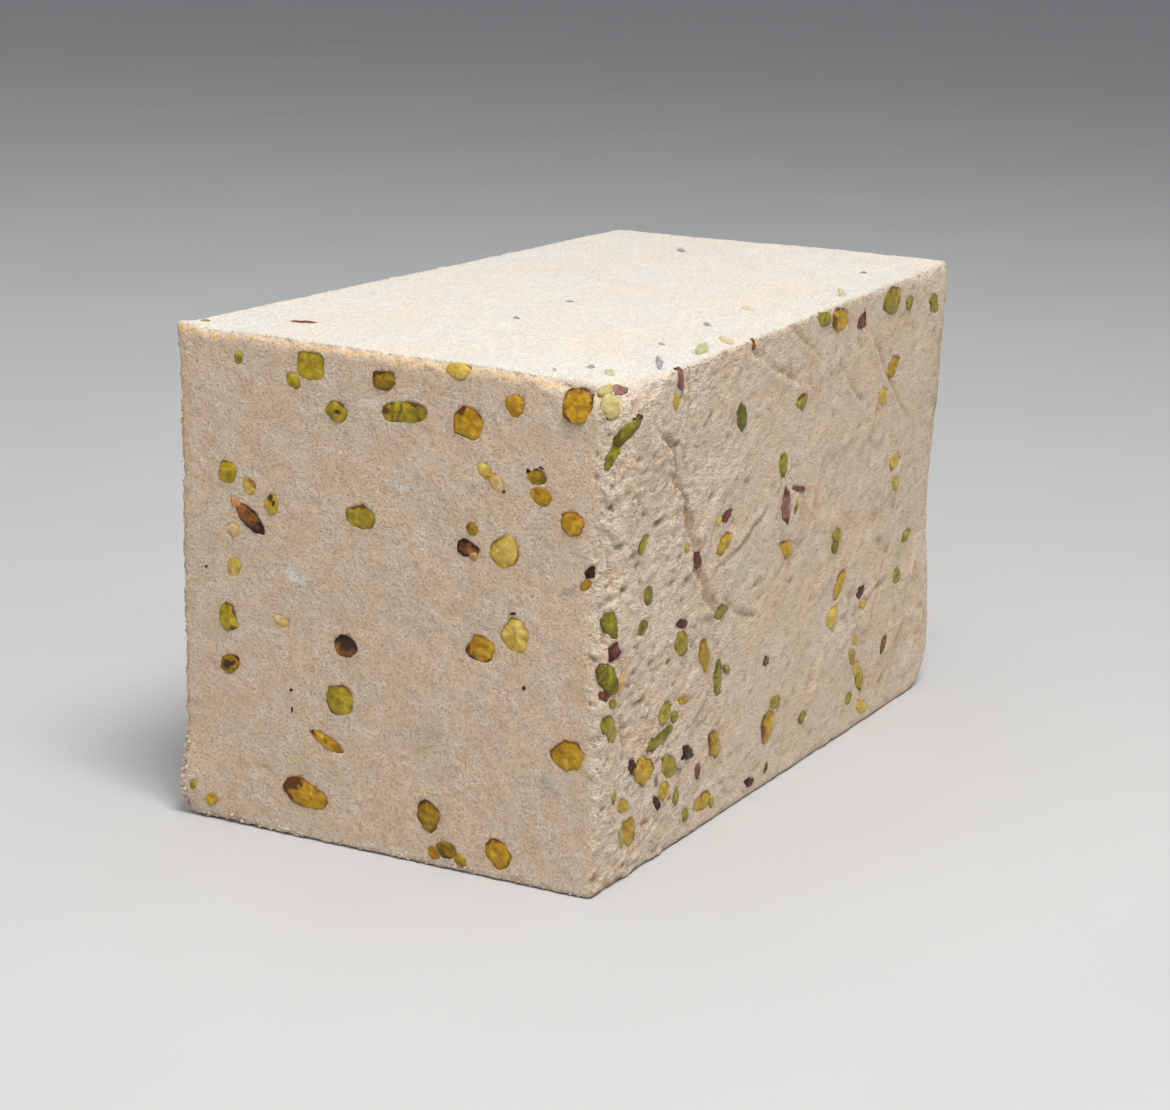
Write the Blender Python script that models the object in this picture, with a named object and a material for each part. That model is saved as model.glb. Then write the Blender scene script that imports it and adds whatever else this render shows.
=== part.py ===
"""A block of sesame halva set with pistachios.

The block stands on its base. Its knife-cut end faces -Y, its broad side faces +X, and its length runs
along Y. Every size is in millimetres times MM, so that the scene is in metres.
"""

import math

import bmesh
import bpy
from mathutils import Matrix, Vector, noise

MM = 0.001

# The block as if it were a plain box.
WIDTH = 99 * MM
LENGTH = 193 * MM
HEIGHT = 109 * MM

# Where the middle of the plain box's base stands, in mm, so that the origin is under the middle of the
# real block.
BLOCK_PLACE = (0.54, 0.30, 0.0)

# How far each corner of the real block sits from that of the plain box, in mm.
# A key gives the corner's side along X, Y and Z: 0 is low, 1 is high.
CORNER_SHIFTS = {
    (0, 0, 1): (-3.2, -1.6, -0.2),
    (1, 0, 1): (3.0, 1.0, -2.0),
    (1, 1, 1): (-1.2, 0.3, 1.8),
    (0, 1, 1): (2.7, 1.4, 0.2),
    (0, 0, 0): (-0.8, -0.1, 0.0),
    (1, 0, 0): (-0.5, 0.4, 0.0),
    (1, 1, 0): (0.0, -0.3, 0.0),
    (0, 1, 0): (0.0, 0.0, 0.0),
}

# Edge rounding, in mm. Each extra is a radius added round one place, as (extra radius, centre, reach).
# Centres and reaches are shares of the plain box, from 0 to 1 along X, Y and Z.
EDGE_RADIUS = 1.4
WORN_PLACES = (
    (6.6, (1.0, 0.0, 1.0), (0.22, 0.12, 0.80)),
    (0.8, (0.0, 0.0, 0.0), (0.30, 0.14, 0.26)),
    (2.2, (1.0, 1.0, 1.0), (0.34, 0.22, 0.30)),
)

# The far end's lower edge is well rounded, more so at the shown side.
FAR_BASE_RADIUS_HIDDEN = 8 * MM
FAR_BASE_RADIUS_SHOWN = 13 * MM

# Slow waviness of the faces, and lumps and dents on them, as (height, centre, radius) in mm.
WAVE_HEIGHT = 0.3
WAVE_LENGTH = 46
LUMPS = (
    (2.2, (-49.5, -96.5, 8.0), 7.0),
    (1.1, (-48.5, -96.5, 109.0), 4.5),
    (-0.8, (-42.0, -96.5, 109.0), 6.0),
    (-1.0, (49.5, -78.0, 72.0), 16.0),
    (-0.9, (49.5, -84.0, 34.0), 14.0),
    (0.6, (49.5, -60.0, 18.0), 12.0),
    (-0.7, (49.5, 70.0, 101.0), 12.0),
    (-2.4, (49.5, 96.5, 52.0), 30.0),
)

# The mesh's lines across the block, in mm from its middle, or from its base for Z.
# They stand closer near the rounded edges.
LINES_X = (-49.5, -48.4, -46.0, -38, -24, -8, 8, 24, 36, 42.5, 46.0, 48.4, 49.5)
LINES_Y = (-96.5, -95.4, -92.5, -87, -76, -58, -38, -18, 2, 22, 42, 60, 74, 84, 90, 94.5, 96.5)
LINES_Z = (0, 1.2, 3.6, 8, 14, 26, 42, 58, 74, 88, 98, 104, 107.4, 109)

# Pistachios that show at the surface. Each is (name, across, up, length, breadth, turn, kind).
# across and up are in mm from the face's lower near corner, and turn is in degrees.
CUT_END_NUTS = (
    ("cut_nut_01", 31.0, 104.0, 6.6, 6.0, 0, "green_nut"),
    ("cut_nut_02", 47.4, 103.6, 5.6, 4.4, -5, "olive_nut"),
    ("cut_nut_03", 52.0, 97.2, 10.8, 4.6, 6, "green_nut"),
    ("cut_nut_04", 66.0, 97.0, 7.6, 6.8, 80, "golden_nut"),
    ("cut_nut_05", 88.8, 104.2, 7.6, 6.4, 100, "golden_nut"),
    ("cut_nut_06", 37.0, 95.6, 5.4, 4.2, -10, "green_nut"),
    ("cut_nut_07", 11.4, 78.6, 4.8, 4.6, 90, "green_nut"),
    ("cut_nut_08", 17.0, 69.2, 9.6, 4.2, -38, "brown_nut"),
    ("cut_nut_09", 42.6, 73.8, 7.2, 5.6, -12, "green_nut"),
    ("cut_nut_10", 75.2, 71.8, 7.6, 6.4, 75, "pale_nut"),
    ("cut_nut_11", 89.4, 79.8, 5.6, 4.6, -10, "golden_nut"),
    ("cut_nut_12", 67.2, 71.0, 5.2, 4.2, 0, "brown_nut"),
    ("cut_nut_13", 78.4, 54.2, 7.4, 6.6, -60, "pale_nut"),
    ("cut_nut_14", 70.9, 49.9, 7.2, 5.8, -15, "golden_nut"),
    ("cut_nut_15", 11.6, 46.8, 6.4, 5.0, 100, "green_nut"),
    ("cut_nut_16", 39.8, 45.0, 6.0, 5.2, 0, "brown_nut"),
    ("cut_nut_17", 11.8, 36.4, 5.6, 4.0, 30, "olive_nut"),
    ("cut_nut_18", 38.6, 33.0, 7.2, 6.6, 110, "green_nut"),
    ("cut_nut_19", 35.8, 23.0, 9.0, 3.0, -24, "golden_nut"),
    ("cut_nut_20", 30.8, 10.6, 11.4, 6.6, -12, "golden_nut"),
    ("cut_nut_21", 60.6, 11.0, 7.4, 5.8, -60, "olive_nut"),
    ("cut_nut_22", 65.0, 4.2, 5.0, 4.0, 0, "olive_nut"),
    ("cut_nut_23", 77.2, 6.0, 7.0, 5.6, -50, "golden_nut"),
    ("cut_nut_24", 91.4, 30.4, 7.8, 6.4, 0, "golden_nut"),
    ("cut_nut_25", 95.8, 105.6, 5.4, 4.6, -70, "pale_nut"),
)
SHOWN_SIDE_NUTS = (
    ("side_nut_01", 3.6, 99.6, 9.0, 3.8, 40, "green_nut"),
    ("side_nut_02", 60.0, 92.6, 7.6, 5.6, -45, "green_nut"),
    ("side_nut_03", 14.2, 73.8, 5.4, 3.8, 25, "olive_nut"),
    ("side_nut_04", 2.4, 58.6, 6.6, 4.4, -70, "green_nut"),
    ("side_nut_05", 2.2, 47.6, 7.6, 4.4, -60, "olive_nut"),
    ("side_nut_06", 4.4, 36.0, 8.4, 4.8, -42, "green_nut"),
    ("side_nut_07", 36.0, 47.0, 7.6, 5.4, -30, "olive_nut"),
    ("side_nut_08", 49.2, 41.4, 9.4, 5.0, -62, "golden_nut"),
    ("side_nut_09", 54.8, 65.0, 8.0, 4.6, 10, "golden_nut"),
    ("side_nut_10", 91.6, 56.0, 9.6, 4.2, -25, "golden_nut"),
    ("side_nut_11", 89.6, 66.2, 9.4, 5.4, -80, "brown_nut"),
    ("side_nut_12", 95.0, 89.6, 7.4, 3.8, 0, "olive_nut"),
    ("side_nut_13", 115.6, 105.0, 12.0, 5.6, -6, "golden_nut"),
    ("side_nut_14", 151.4, 104.6, 13.0, 6.6, -4, "olive_nut"),
    ("side_nut_15", 155.0, 88.0, 10.0, 5.0, 25, "olive_nut"),
    ("side_nut_16", 58.0, 18.4, 8.6, 5.4, -50, "golden_nut"),
    ("side_nut_17", 21.6, 22.4, 9.6, 6.2, -12, "golden_nut"),
    ("side_nut_18", 33.2, 20.6, 9.4, 5.4, -28, "olive_nut"),
    ("side_nut_19", 16.4, 10.8, 7.4, 5.8, -40, "golden_nut"),
    ("side_nut_20", 54.0, 6.0, 9.6, 4.6, 0, "golden_nut"),
    ("side_nut_21", 127.0, 39.4, 9.2, 5.2, 50, "olive_nut"),
    ("side_nut_22", 87.6, 14.4, 8.6, 7.2, 35, "brown_nut"),
    ("side_nut_23", 144.6, 12.0, 8.0, 4.6, -55, "olive_nut"),
)
FAR_END_NUTS = (
    ("far_nut_01", 22.0, 84.0, 8.4, 6.2, 20, "golden_nut"),
    ("far_nut_02", 68.0, 92.0, 7.0, 5.4, -30, "green_nut"),
    ("far_nut_03", 47.0, 58.0, 9.6, 5.4, 65, "olive_nut"),
    ("far_nut_04", 78.0, 40.0, 7.4, 6.6, 0, "golden_nut"),
    ("far_nut_05", 27.0, 30.0, 8.2, 5.2, -45, "green_nut"),
)
HIDDEN_SIDE_NUTS = (
    ("left_nut_01", 24.0, 88.0, 8.6, 5.4, 25, "green_nut"),
    ("left_nut_02", 63.0, 60.0, 9.4, 5.6, -35, "golden_nut"),
    ("left_nut_03", 98.0, 84.0, 7.6, 5.0, 60, "olive_nut"),
    ("left_nut_04", 118.0, 32.0, 9.0, 6.0, -15, "golden_nut"),
    ("left_nut_05", 152.0, 68.0, 8.0, 4.8, 40, "green_nut"),
    ("left_nut_06", 168.0, 24.0, 7.6, 5.6, -60, "brown_nut"),
)

# A nut's form: rings from its cut front to its back, as (share of its outline, share of its depth).
# Its front bulges a little, and lies just under the halva's surface.
NUT_SEGMENTS = 10
NUT_FRONT = 0.55
NUT_RINGS = ((1.0, -0.05), (0.74, -0.68))
NUT_BACK = -1.0
NUT_DEPTH_SHARE = 0.62
NUT_RECESS = 0.35
NUT_DOME = 0.30
POCKET_GAP = 0.3
POCKET_REACH = 5.0

# Colour and roughness of each material.
MATERIALS = {
    "halva": ((0.62, 0.50, 0.36), 0.85),
    "green_nut": ((0.30, 0.32, 0.05), 0.45),
    "olive_nut": ((0.28, 0.22, 0.04), 0.45),
    "golden_nut": ((0.48, 0.28, 0.04), 0.40),
    "pale_nut": ((0.55, 0.45, 0.14), 0.50),
    "brown_nut": ((0.14, 0.05, 0.02), 0.50),
}


def clear_scene():
    for item in list(bpy.data.objects):
        bpy.data.objects.remove(item, do_unlink=True)


def make_material(name):
    colour, roughness = MATERIALS[name]
    material = bpy.data.materials.new(name)
    material.use_nodes = True
    shader = material.node_tree.nodes["Principled BSDF"]
    shader.inputs["Base Color"].default_value = (*colour, 1.0)
    shader.inputs["Roughness"].default_value = roughness
    shader.inputs["Metallic"].default_value = 0.0
    material.diffuse_color = (*colour, 1.0)
    return material


def add_object(name, mesh, parent, material=None):
    item = bpy.data.objects.new(name, mesh)
    bpy.context.scene.collection.objects.link(item)
    item.parent = parent
    if material:
        mesh.materials.append(material)
    return item


def shares(point):
    """The point's place in the plain box, from 0 to 1 along X, Y and Z."""
    return (point.x / WIDTH + 0.5, point.y / LENGTH + 0.5, point.z / HEIGHT)


def fade(value):
    """1 near zero, falling smoothly to 0 at 1."""
    value = min(abs(value), 1.0)
    return 1.0 - value * value * (3.0 - 2.0 * value)


def edge_radius(point):
    radius = EDGE_RADIUS
    place = shares(point)
    for extra, centre, reach in WORN_PLACES:
        nearness = 1.0
        for here, there, spread in zip(place, centre, reach):
            nearness *= fade(max(0.0, abs(here - there) - 0.4 * spread) / (0.6 * spread))
        radius += extra * nearness
    return radius * MM


def rounded(point):
    """A point of the plain box's surface, moved onto its rounded edges."""
    radius = edge_radius(point)
    core = Vector(
        (
            max(radius - WIDTH / 2, min(WIDTH / 2 - radius, point.x)),
            max(radius - LENGTH / 2, min(LENGTH / 2 - radius, point.y)),
            max(radius, min(HEIGHT - radius, point.z)),
        )
    )
    return core + (point - core).normalized() * radius


def rounded_far_base(point):
    """The point, squeezed onto the round of the far end's lower edge."""
    share = point.x / WIDTH + 0.5
    radius = FAR_BASE_RADIUS_HIDDEN + (FAR_BASE_RADIUS_SHOWN - FAR_BASE_RADIUS_HIDDEN) * share
    centre = Vector((point.x, LENGTH / 2 - radius, radius))
    ray = point - centre
    if ray.y <= 0 or ray.z >= 0:
        return point
    return centre + ray * max(ray.y, -ray.z) / ray.length


def corner_shift(point):
    shift = Vector((0.0, 0.0, 0.0))
    place = shares(point)
    for corner, move in CORNER_SHIFTS.items():
        weight = 1.0
        for side, share in zip(corner, place):
            weight *= share if side else 1.0 - share
        shift += Vector(move) * weight * MM
    return shift


def relief(point):
    """How far the surface stands out here, from its waves, lumps and dents. The base stays flat."""
    height = WAVE_HEIGHT * noise.noise(point / (WAVE_LENGTH * MM))
    for lump, centre, radius in LUMPS:
        gap = (point - Vector(centre) * MM).length / (radius * MM)
        height += lump * math.exp(-gap * gap)
    return height * MM * min(1.0, point.z / (5 * MM))


def block_point(point):
    """Where a point of the plain box's surface lies on the real block."""
    smooth = rounded_far_base(rounded(point))
    middle = Vector((0.0, point.y * 0.6, HEIGHT / 2))
    outward = (smooth - middle).normalized()
    outward.z *= min(1.0, point.z / (8 * MM))
    return smooth + corner_shift(smooth) + outward * relief(point)


def block_mesh():
    """The block's skin: one quad for each cell of the grid lines on the box's six faces."""
    lines = (LINES_X, LINES_Y, LINES_Z)
    last = [len(line) - 1 for line in lines]
    mesh = bmesh.new()
    corners = {}

    def corner(index):
        if index not in corners:
            place = Vector([line[i] * MM for line, i in zip(lines, index)])
            corners[index] = mesh.verts.new(block_point(place))
        return corners[index]

    for axis in range(3):
        first, second = (axis + 1) % 3, (axis + 2) % 3
        for side in (0, last[axis]):
            for i in range(last[first]):
                for j in range(last[second]):
                    cell = []
                    for step_i, step_j in ((0, 0), (1, 0), (1, 1), (0, 1)):
                        index = [0, 0, 0]
                        index[axis] = side
                        index[first] = i + step_i
                        index[second] = j + step_j
                        cell.append(corner(tuple(index)))
                    mesh.faces.new(cell if side else cell[::-1])
    bmesh.ops.triangulate(mesh, faces=mesh.faces[:])
    result = bpy.data.meshes.new("halva_block")
    mesh.to_mesh(result)
    mesh.free()
    return result


def face_place(face, across, up):
    """The point of the plain box at this place on a face, and the directions across and up it."""
    upward = Vector((0, 0, 1))
    if face == "cut":
        return Vector((across * MM - WIDTH / 2, -LENGTH / 2, up * MM)), Vector((1, 0, 0)), upward
    if face == "shown":
        return Vector((WIDTH / 2, across * MM - LENGTH / 2, up * MM)), Vector((0, 1, 0)), upward
    if face == "far":
        return Vector((WIDTH / 2 - across * MM, LENGTH / 2, up * MM)), Vector((-1, 0, 0)), upward
    return Vector((-WIDTH / 2, LENGTH / 2 - across * MM, up * MM)), Vector((0, -1, 0)), upward


def face_frame(face, across, up, turn):
    """A frame on the block's surface: X along the nut, Z straight out of the face."""
    middle, right, upward = face_place(face, across, up)
    step = 1.5 * MM
    side = block_point(middle + right * step) - block_point(middle - right * step)
    rise = block_point(middle + upward * step) - block_point(middle - upward * step)
    out = side.cross(rise).normalized()
    along = Matrix.Rotation(math.radians(turn), 3, out) @ side.normalized()
    along = (along - out * along.dot(out)).normalized()
    frame = Matrix((along, out.cross(along), out)).transposed().to_4x4()
    frame.translation = block_point(middle) - out * NUT_RECESS * MM
    return frame


def outline_point(length, breadth, angle, phase, grow):
    """A point of a nut's outline, which is egg-shaped and slightly uneven."""
    egg = 1.0 + 0.07 * math.cos(angle + 0.4 * phase) + 0.035 * math.cos(3 * angle + phase)
    return (
        (length / 2 * egg + grow) * math.cos(angle),
        (breadth / 2 * egg + grow) * math.sin(angle),
    )


def nut_mesh(name, length, breadth, phase, pocket):
    """A nut with its cut face up or, with pocket set, the slightly larger room that it sits in."""
    depth = breadth * NUT_DEPTH_SHARE
    grow = POCKET_GAP if pocket else 0.0
    mesh = bmesh.new()
    rings = []
    levels = [(share, level * depth - grow * abs(level)) for share, level in NUT_RINGS]
    if pocket:
        levels.insert(0, (1.0, POCKET_REACH))
    else:
        levels.insert(0, (NUT_FRONT, NUT_DOME))
    for share, level in levels:
        ring = []
        for segment in range(NUT_SEGMENTS):
            angle = math.tau * segment / NUT_SEGMENTS
            x, y = outline_point(length * share, breadth * share, angle, phase, grow)
            ring.append(mesh.verts.new((x * MM, y * MM, level * MM)))
        rings.append(ring)
    back = mesh.verts.new((0, 0, (NUT_BACK * depth - grow) * MM))
    mesh.faces.new(rings[0])
    for upper, lower in zip(rings, rings[1:]):
        for i, here in enumerate(upper):
            following = (i + 1) % NUT_SEGMENTS
            mesh.faces.new((here, lower[i], lower[following], upper[following]))
    for i, here in enumerate(rings[-1]):
        mesh.faces.new((here, back, rings[-1][(i + 1) % NUT_SEGMENTS]))
    bmesh.ops.recalc_face_normals(mesh, faces=mesh.faces[:])
    result = bpy.data.meshes.new(name)
    mesh.to_mesh(result)
    mesh.free()
    return result


def add_nut(nut, face, phase, parent, materials, pockets):
    """Adds one nut, and its room in the halva to the pockets."""
    name, across, up, length, breadth, turn, kind = nut
    frame = face_frame(face, across, up, turn)
    item = add_object(name, nut_mesh(name, length, breadth, phase, False), parent, materials[kind])
    item.matrix_local = frame
    room = nut_mesh(name + "_room", length, breadth, phase, True)
    room.transform(frame)
    pockets.from_mesh(room)
    bpy.data.meshes.remove(room)


def add_cutter(pockets, parent):
    mesh = bpy.data.meshes.new("nut_rooms")
    pockets.to_mesh(mesh)
    pockets.free()
    cutter = add_object("nut_rooms", mesh, parent)
    cutter.hide_render = True
    cutter.display_type = "WIRE"
    return cutter


def main():
    clear_scene()
    bpy.context.scene.unit_settings.scale_length = 1.0
    materials = {name: make_material(name) for name in MATERIALS}
    whole = bpy.data.objects.new("whole_block", None)
    whole.location = Vector(BLOCK_PLACE) * MM
    bpy.context.scene.collection.objects.link(whole)
    block = add_object("halva_block", block_mesh(), whole, materials["halva"])
    pockets = bmesh.new()
    faces = (
        ("cut", CUT_END_NUTS),
        ("shown", SHOWN_SIDE_NUTS),
        ("far", FAR_END_NUTS),
        ("hidden", HIDDEN_SIDE_NUTS),
    )
    phase = 0.0
    for face, nuts in faces:
        for nut in nuts:
            phase += 1.7
            add_nut(nut, face, phase, whole, materials, pockets)
    cut = block.modifiers.new("nut_rooms", "BOOLEAN")
    cut.operation = "DIFFERENCE"
    cut.solver = "EXACT"
    cut.object = add_cutter(pockets, whole)


main()
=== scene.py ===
import math
import random

import bmesh
import bpy
import numpy as np
from mathutils import Matrix, Vector, noise
from mathutils.geometry import delaunay_2d_cdt


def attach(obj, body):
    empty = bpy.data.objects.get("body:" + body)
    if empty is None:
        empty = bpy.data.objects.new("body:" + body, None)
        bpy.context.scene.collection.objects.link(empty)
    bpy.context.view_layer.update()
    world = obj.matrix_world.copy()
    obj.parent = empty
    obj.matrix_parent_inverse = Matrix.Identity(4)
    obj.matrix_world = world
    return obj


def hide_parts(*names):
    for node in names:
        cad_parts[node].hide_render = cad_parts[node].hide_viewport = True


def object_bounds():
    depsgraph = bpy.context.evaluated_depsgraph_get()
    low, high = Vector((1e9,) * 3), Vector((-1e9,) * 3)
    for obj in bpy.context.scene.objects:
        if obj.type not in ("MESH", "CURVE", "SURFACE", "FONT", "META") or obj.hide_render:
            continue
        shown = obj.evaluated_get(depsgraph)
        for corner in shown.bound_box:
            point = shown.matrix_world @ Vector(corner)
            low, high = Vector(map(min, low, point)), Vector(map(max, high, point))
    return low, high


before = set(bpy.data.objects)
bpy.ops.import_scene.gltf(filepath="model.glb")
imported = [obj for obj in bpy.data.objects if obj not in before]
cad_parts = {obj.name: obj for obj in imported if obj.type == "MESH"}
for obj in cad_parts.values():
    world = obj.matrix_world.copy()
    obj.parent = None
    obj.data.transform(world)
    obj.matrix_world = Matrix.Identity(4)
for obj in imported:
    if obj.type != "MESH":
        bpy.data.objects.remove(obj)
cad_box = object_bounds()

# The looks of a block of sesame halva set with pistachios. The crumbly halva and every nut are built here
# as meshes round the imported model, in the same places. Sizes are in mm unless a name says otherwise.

MM = 0.001

# ---------------------------------------------------------------- the block's form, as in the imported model
WIDTH = 99.0
LENGTH = 193.0
HEIGHT = 109.0
BLOCK_PLACE = (0.54, 0.30, 0.0)

CORNER_SHIFTS = {
    (0, 0, 1): (-3.2, -1.6, -0.2),
    (1, 0, 1): (3.0, 1.0, -2.0),
    (1, 1, 1): (-1.2, 0.3, 1.8),
    (0, 1, 1): (2.7, 1.4, 0.2),
    (0, 0, 0): (-0.8, -0.1, 0.0),
    (1, 0, 0): (-0.5, 0.4, 0.0),
    (1, 1, 0): (0.0, -0.3, 0.0),
    (0, 1, 0): (0.0, 0.0, 0.0),
}
EDGE_RADIUS = 1.4
WORN_PLACES = (
    (6.6, (1.0, 0.0, 1.0), (0.22, 0.12, 0.80)),
    (0.8, (0.0, 0.0, 0.0), (0.30, 0.14, 0.26)),
    (2.2, (1.0, 1.0, 1.0), (0.34, 0.22, 0.30)),
)
FAR_BASE_RADIUS_HIDDEN = 8.0
FAR_BASE_RADIUS_SHOWN = 13.0
WAVE_HEIGHT = 0.3
WAVE_LENGTH = 46.0
LUMPS = (
    (2.2, (-49.5, -96.5, 8.0), 7.0),
    (1.1, (-48.5, -96.5, 109.0), 4.5),
    (-0.8, (-42.0, -96.5, 109.0), 6.0),
    (-1.0, (49.5, -78.0, 72.0), 16.0),
    (-0.9, (49.5, -84.0, 34.0), 14.0),
    (0.6, (49.5, -60.0, 18.0), 12.0),
    (-0.7, (49.5, 70.0, 101.0), 12.0),
    (-2.4, (49.5, 96.5, 52.0), 30.0),
)

# Each face as (lower near corner, direction across, direction up, width, height).
FACES = {
    "cut": ((-WIDTH / 2, -LENGTH / 2, 0), (1, 0, 0), (0, 0, 1), WIDTH, HEIGHT),
    "shown": ((WIDTH / 2, -LENGTH / 2, 0), (0, 1, 0), (0, 0, 1), LENGTH, HEIGHT),
    "far": ((WIDTH / 2, LENGTH / 2, 0), (-1, 0, 0), (0, 0, 1), WIDTH, HEIGHT),
    "hidden": ((-WIDTH / 2, LENGTH / 2, 0), (0, -1, 0), (0, 0, 1), LENGTH, HEIGHT),
    "top": ((-WIDTH / 2, -LENGTH / 2, HEIGHT), (1, 0, 0), (0, 1, 0), WIDTH, LENGTH),
    "base": ((-WIDTH / 2, LENGTH / 2, 0), (1, 0, 0), (0, -1, 0), WIDTH, LENGTH),
}

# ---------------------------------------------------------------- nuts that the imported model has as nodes
# Each is (kind, across, up, length, breadth, turn) on its face. A node's name counts its row from 1.
NODE_NAMES = {"cut": "cut_nut", "shown": "side_nut", "far": "far_nut", "hidden": "left_nut"}
NUTS = {
    "cut": (
        ("green_nut", 31, 104, 6.6, 6, 0),
        ("olive_nut", 47.4, 103.6, 5.6, 4.4, -5),
        ("green_nut", 52, 97.2, 10.8, 4.6, 6),
        ("golden_nut", 66, 97, 7.6, 6.8, 80),
        ("golden_nut", 88.8, 104.2, 7.6, 6.4, 100),
        ("green_nut", 37, 95.6, 5.4, 4.2, -10),
        ("green_nut", 11.4, 78.6, 4.8, 4.6, 90),
        ("brown_nut", 17, 69.2, 9.6, 4.2, -38),
        ("green_nut", 42.6, 73.8, 7.2, 5.6, -12),
        ("pale_nut", 75.2, 71.8, 7.6, 6.4, 75),
        ("golden_nut", 89.4, 79.8, 5.6, 4.6, -10),
        ("brown_nut", 67.2, 71, 5.2, 4.2, 0),
        ("pale_nut", 78.4, 54.2, 7.4, 6.6, -60),
        ("golden_nut", 70.9, 49.9, 7.2, 5.8, -15),
        ("green_nut", 11.6, 46.8, 6.4, 5, 100),
        ("brown_nut", 39.8, 45, 6, 5.2, 0),
        ("olive_nut", 11.8, 36.4, 5.6, 4, 30),
        ("green_nut", 38.6, 33, 7.2, 6.6, 110),
        ("golden_nut", 35.8, 23, 9, 3, -24),
        ("golden_nut", 30.8, 10.6, 11.4, 6.6, -12),
        ("olive_nut", 60.6, 11, 7.4, 5.8, -60),
        ("olive_nut", 65, 4.2, 5, 4, 0),
        ("golden_nut", 77.2, 6, 7, 5.6, -50),
        ("golden_nut", 91.4, 30.4, 7.8, 6.4, 0),
        ("pale_nut", 95.8, 105.6, 5.4, 4.6, -70),
    ),
    "shown": (
        ("green_nut", 3.6, 99.6, 9, 3.8, 40),
        ("green_nut", 60, 92.6, 7.6, 5.6, -45),
        ("olive_nut", 14.2, 73.8, 5.4, 3.8, 25),
        ("green_nut", 2.4, 58.6, 6.6, 4.4, -70),
        ("olive_nut", 2.2, 47.6, 7.6, 4.4, -60),
        ("green_nut", 4.4, 36, 8.4, 4.8, -42),
        ("olive_nut", 36, 47, 7.6, 5.4, -30),
        ("golden_nut", 49.2, 41.4, 9.4, 5, -62),
        ("golden_nut", 54.8, 65, 8, 4.6, 10),
        ("golden_nut", 91.6, 56, 9.6, 4.2, -25),
        ("brown_nut", 89.6, 66.2, 9.4, 5.4, -80),
        ("olive_nut", 95, 89.6, 7.4, 3.8, 0),
        ("golden_nut", 115.6, 105, 12, 5.6, -6),
        ("olive_nut", 151.4, 104.6, 13, 6.6, -4),
        ("olive_nut", 155, 88, 10, 5, 25),
        ("golden_nut", 58, 18.4, 8.6, 5.4, -50),
        ("golden_nut", 21.6, 22.4, 9.6, 6.2, -12),
        ("olive_nut", 33.2, 20.6, 9.4, 5.4, -28),
        ("golden_nut", 16.4, 10.8, 7.4, 5.8, -40),
        ("golden_nut", 54, 6, 9.6, 4.6, 0),
        ("olive_nut", 127, 39.4, 9.2, 5.2, 50),
        ("brown_nut", 87.6, 14.4, 8.6, 7.2, 35),
        ("olive_nut", 144.6, 12, 8, 4.6, -55),
    ),
    "far": (
        ("golden_nut", 22, 84, 8.4, 6.2, 20),
        ("green_nut", 68, 92, 7, 5.4, -30),
        ("olive_nut", 47, 58, 9.6, 5.4, 65),
        ("golden_nut", 78, 40, 7.4, 6.6, 0),
        ("green_nut", 27, 30, 8.2, 5.2, -45),
    ),
    "hidden": (
        ("green_nut", 24, 88, 8.6, 5.4, 25),
        ("golden_nut", 63, 60, 9.4, 5.6, -35),
        ("olive_nut", 98, 84, 7.6, 5, 60),
        ("golden_nut", 118, 32, 9, 6, -15),
        ("green_nut", 152, 68, 8, 4.8, 40),
        ("brown_nut", 168, 24, 7.6, 5.6, -60),
    ),
}

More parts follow.
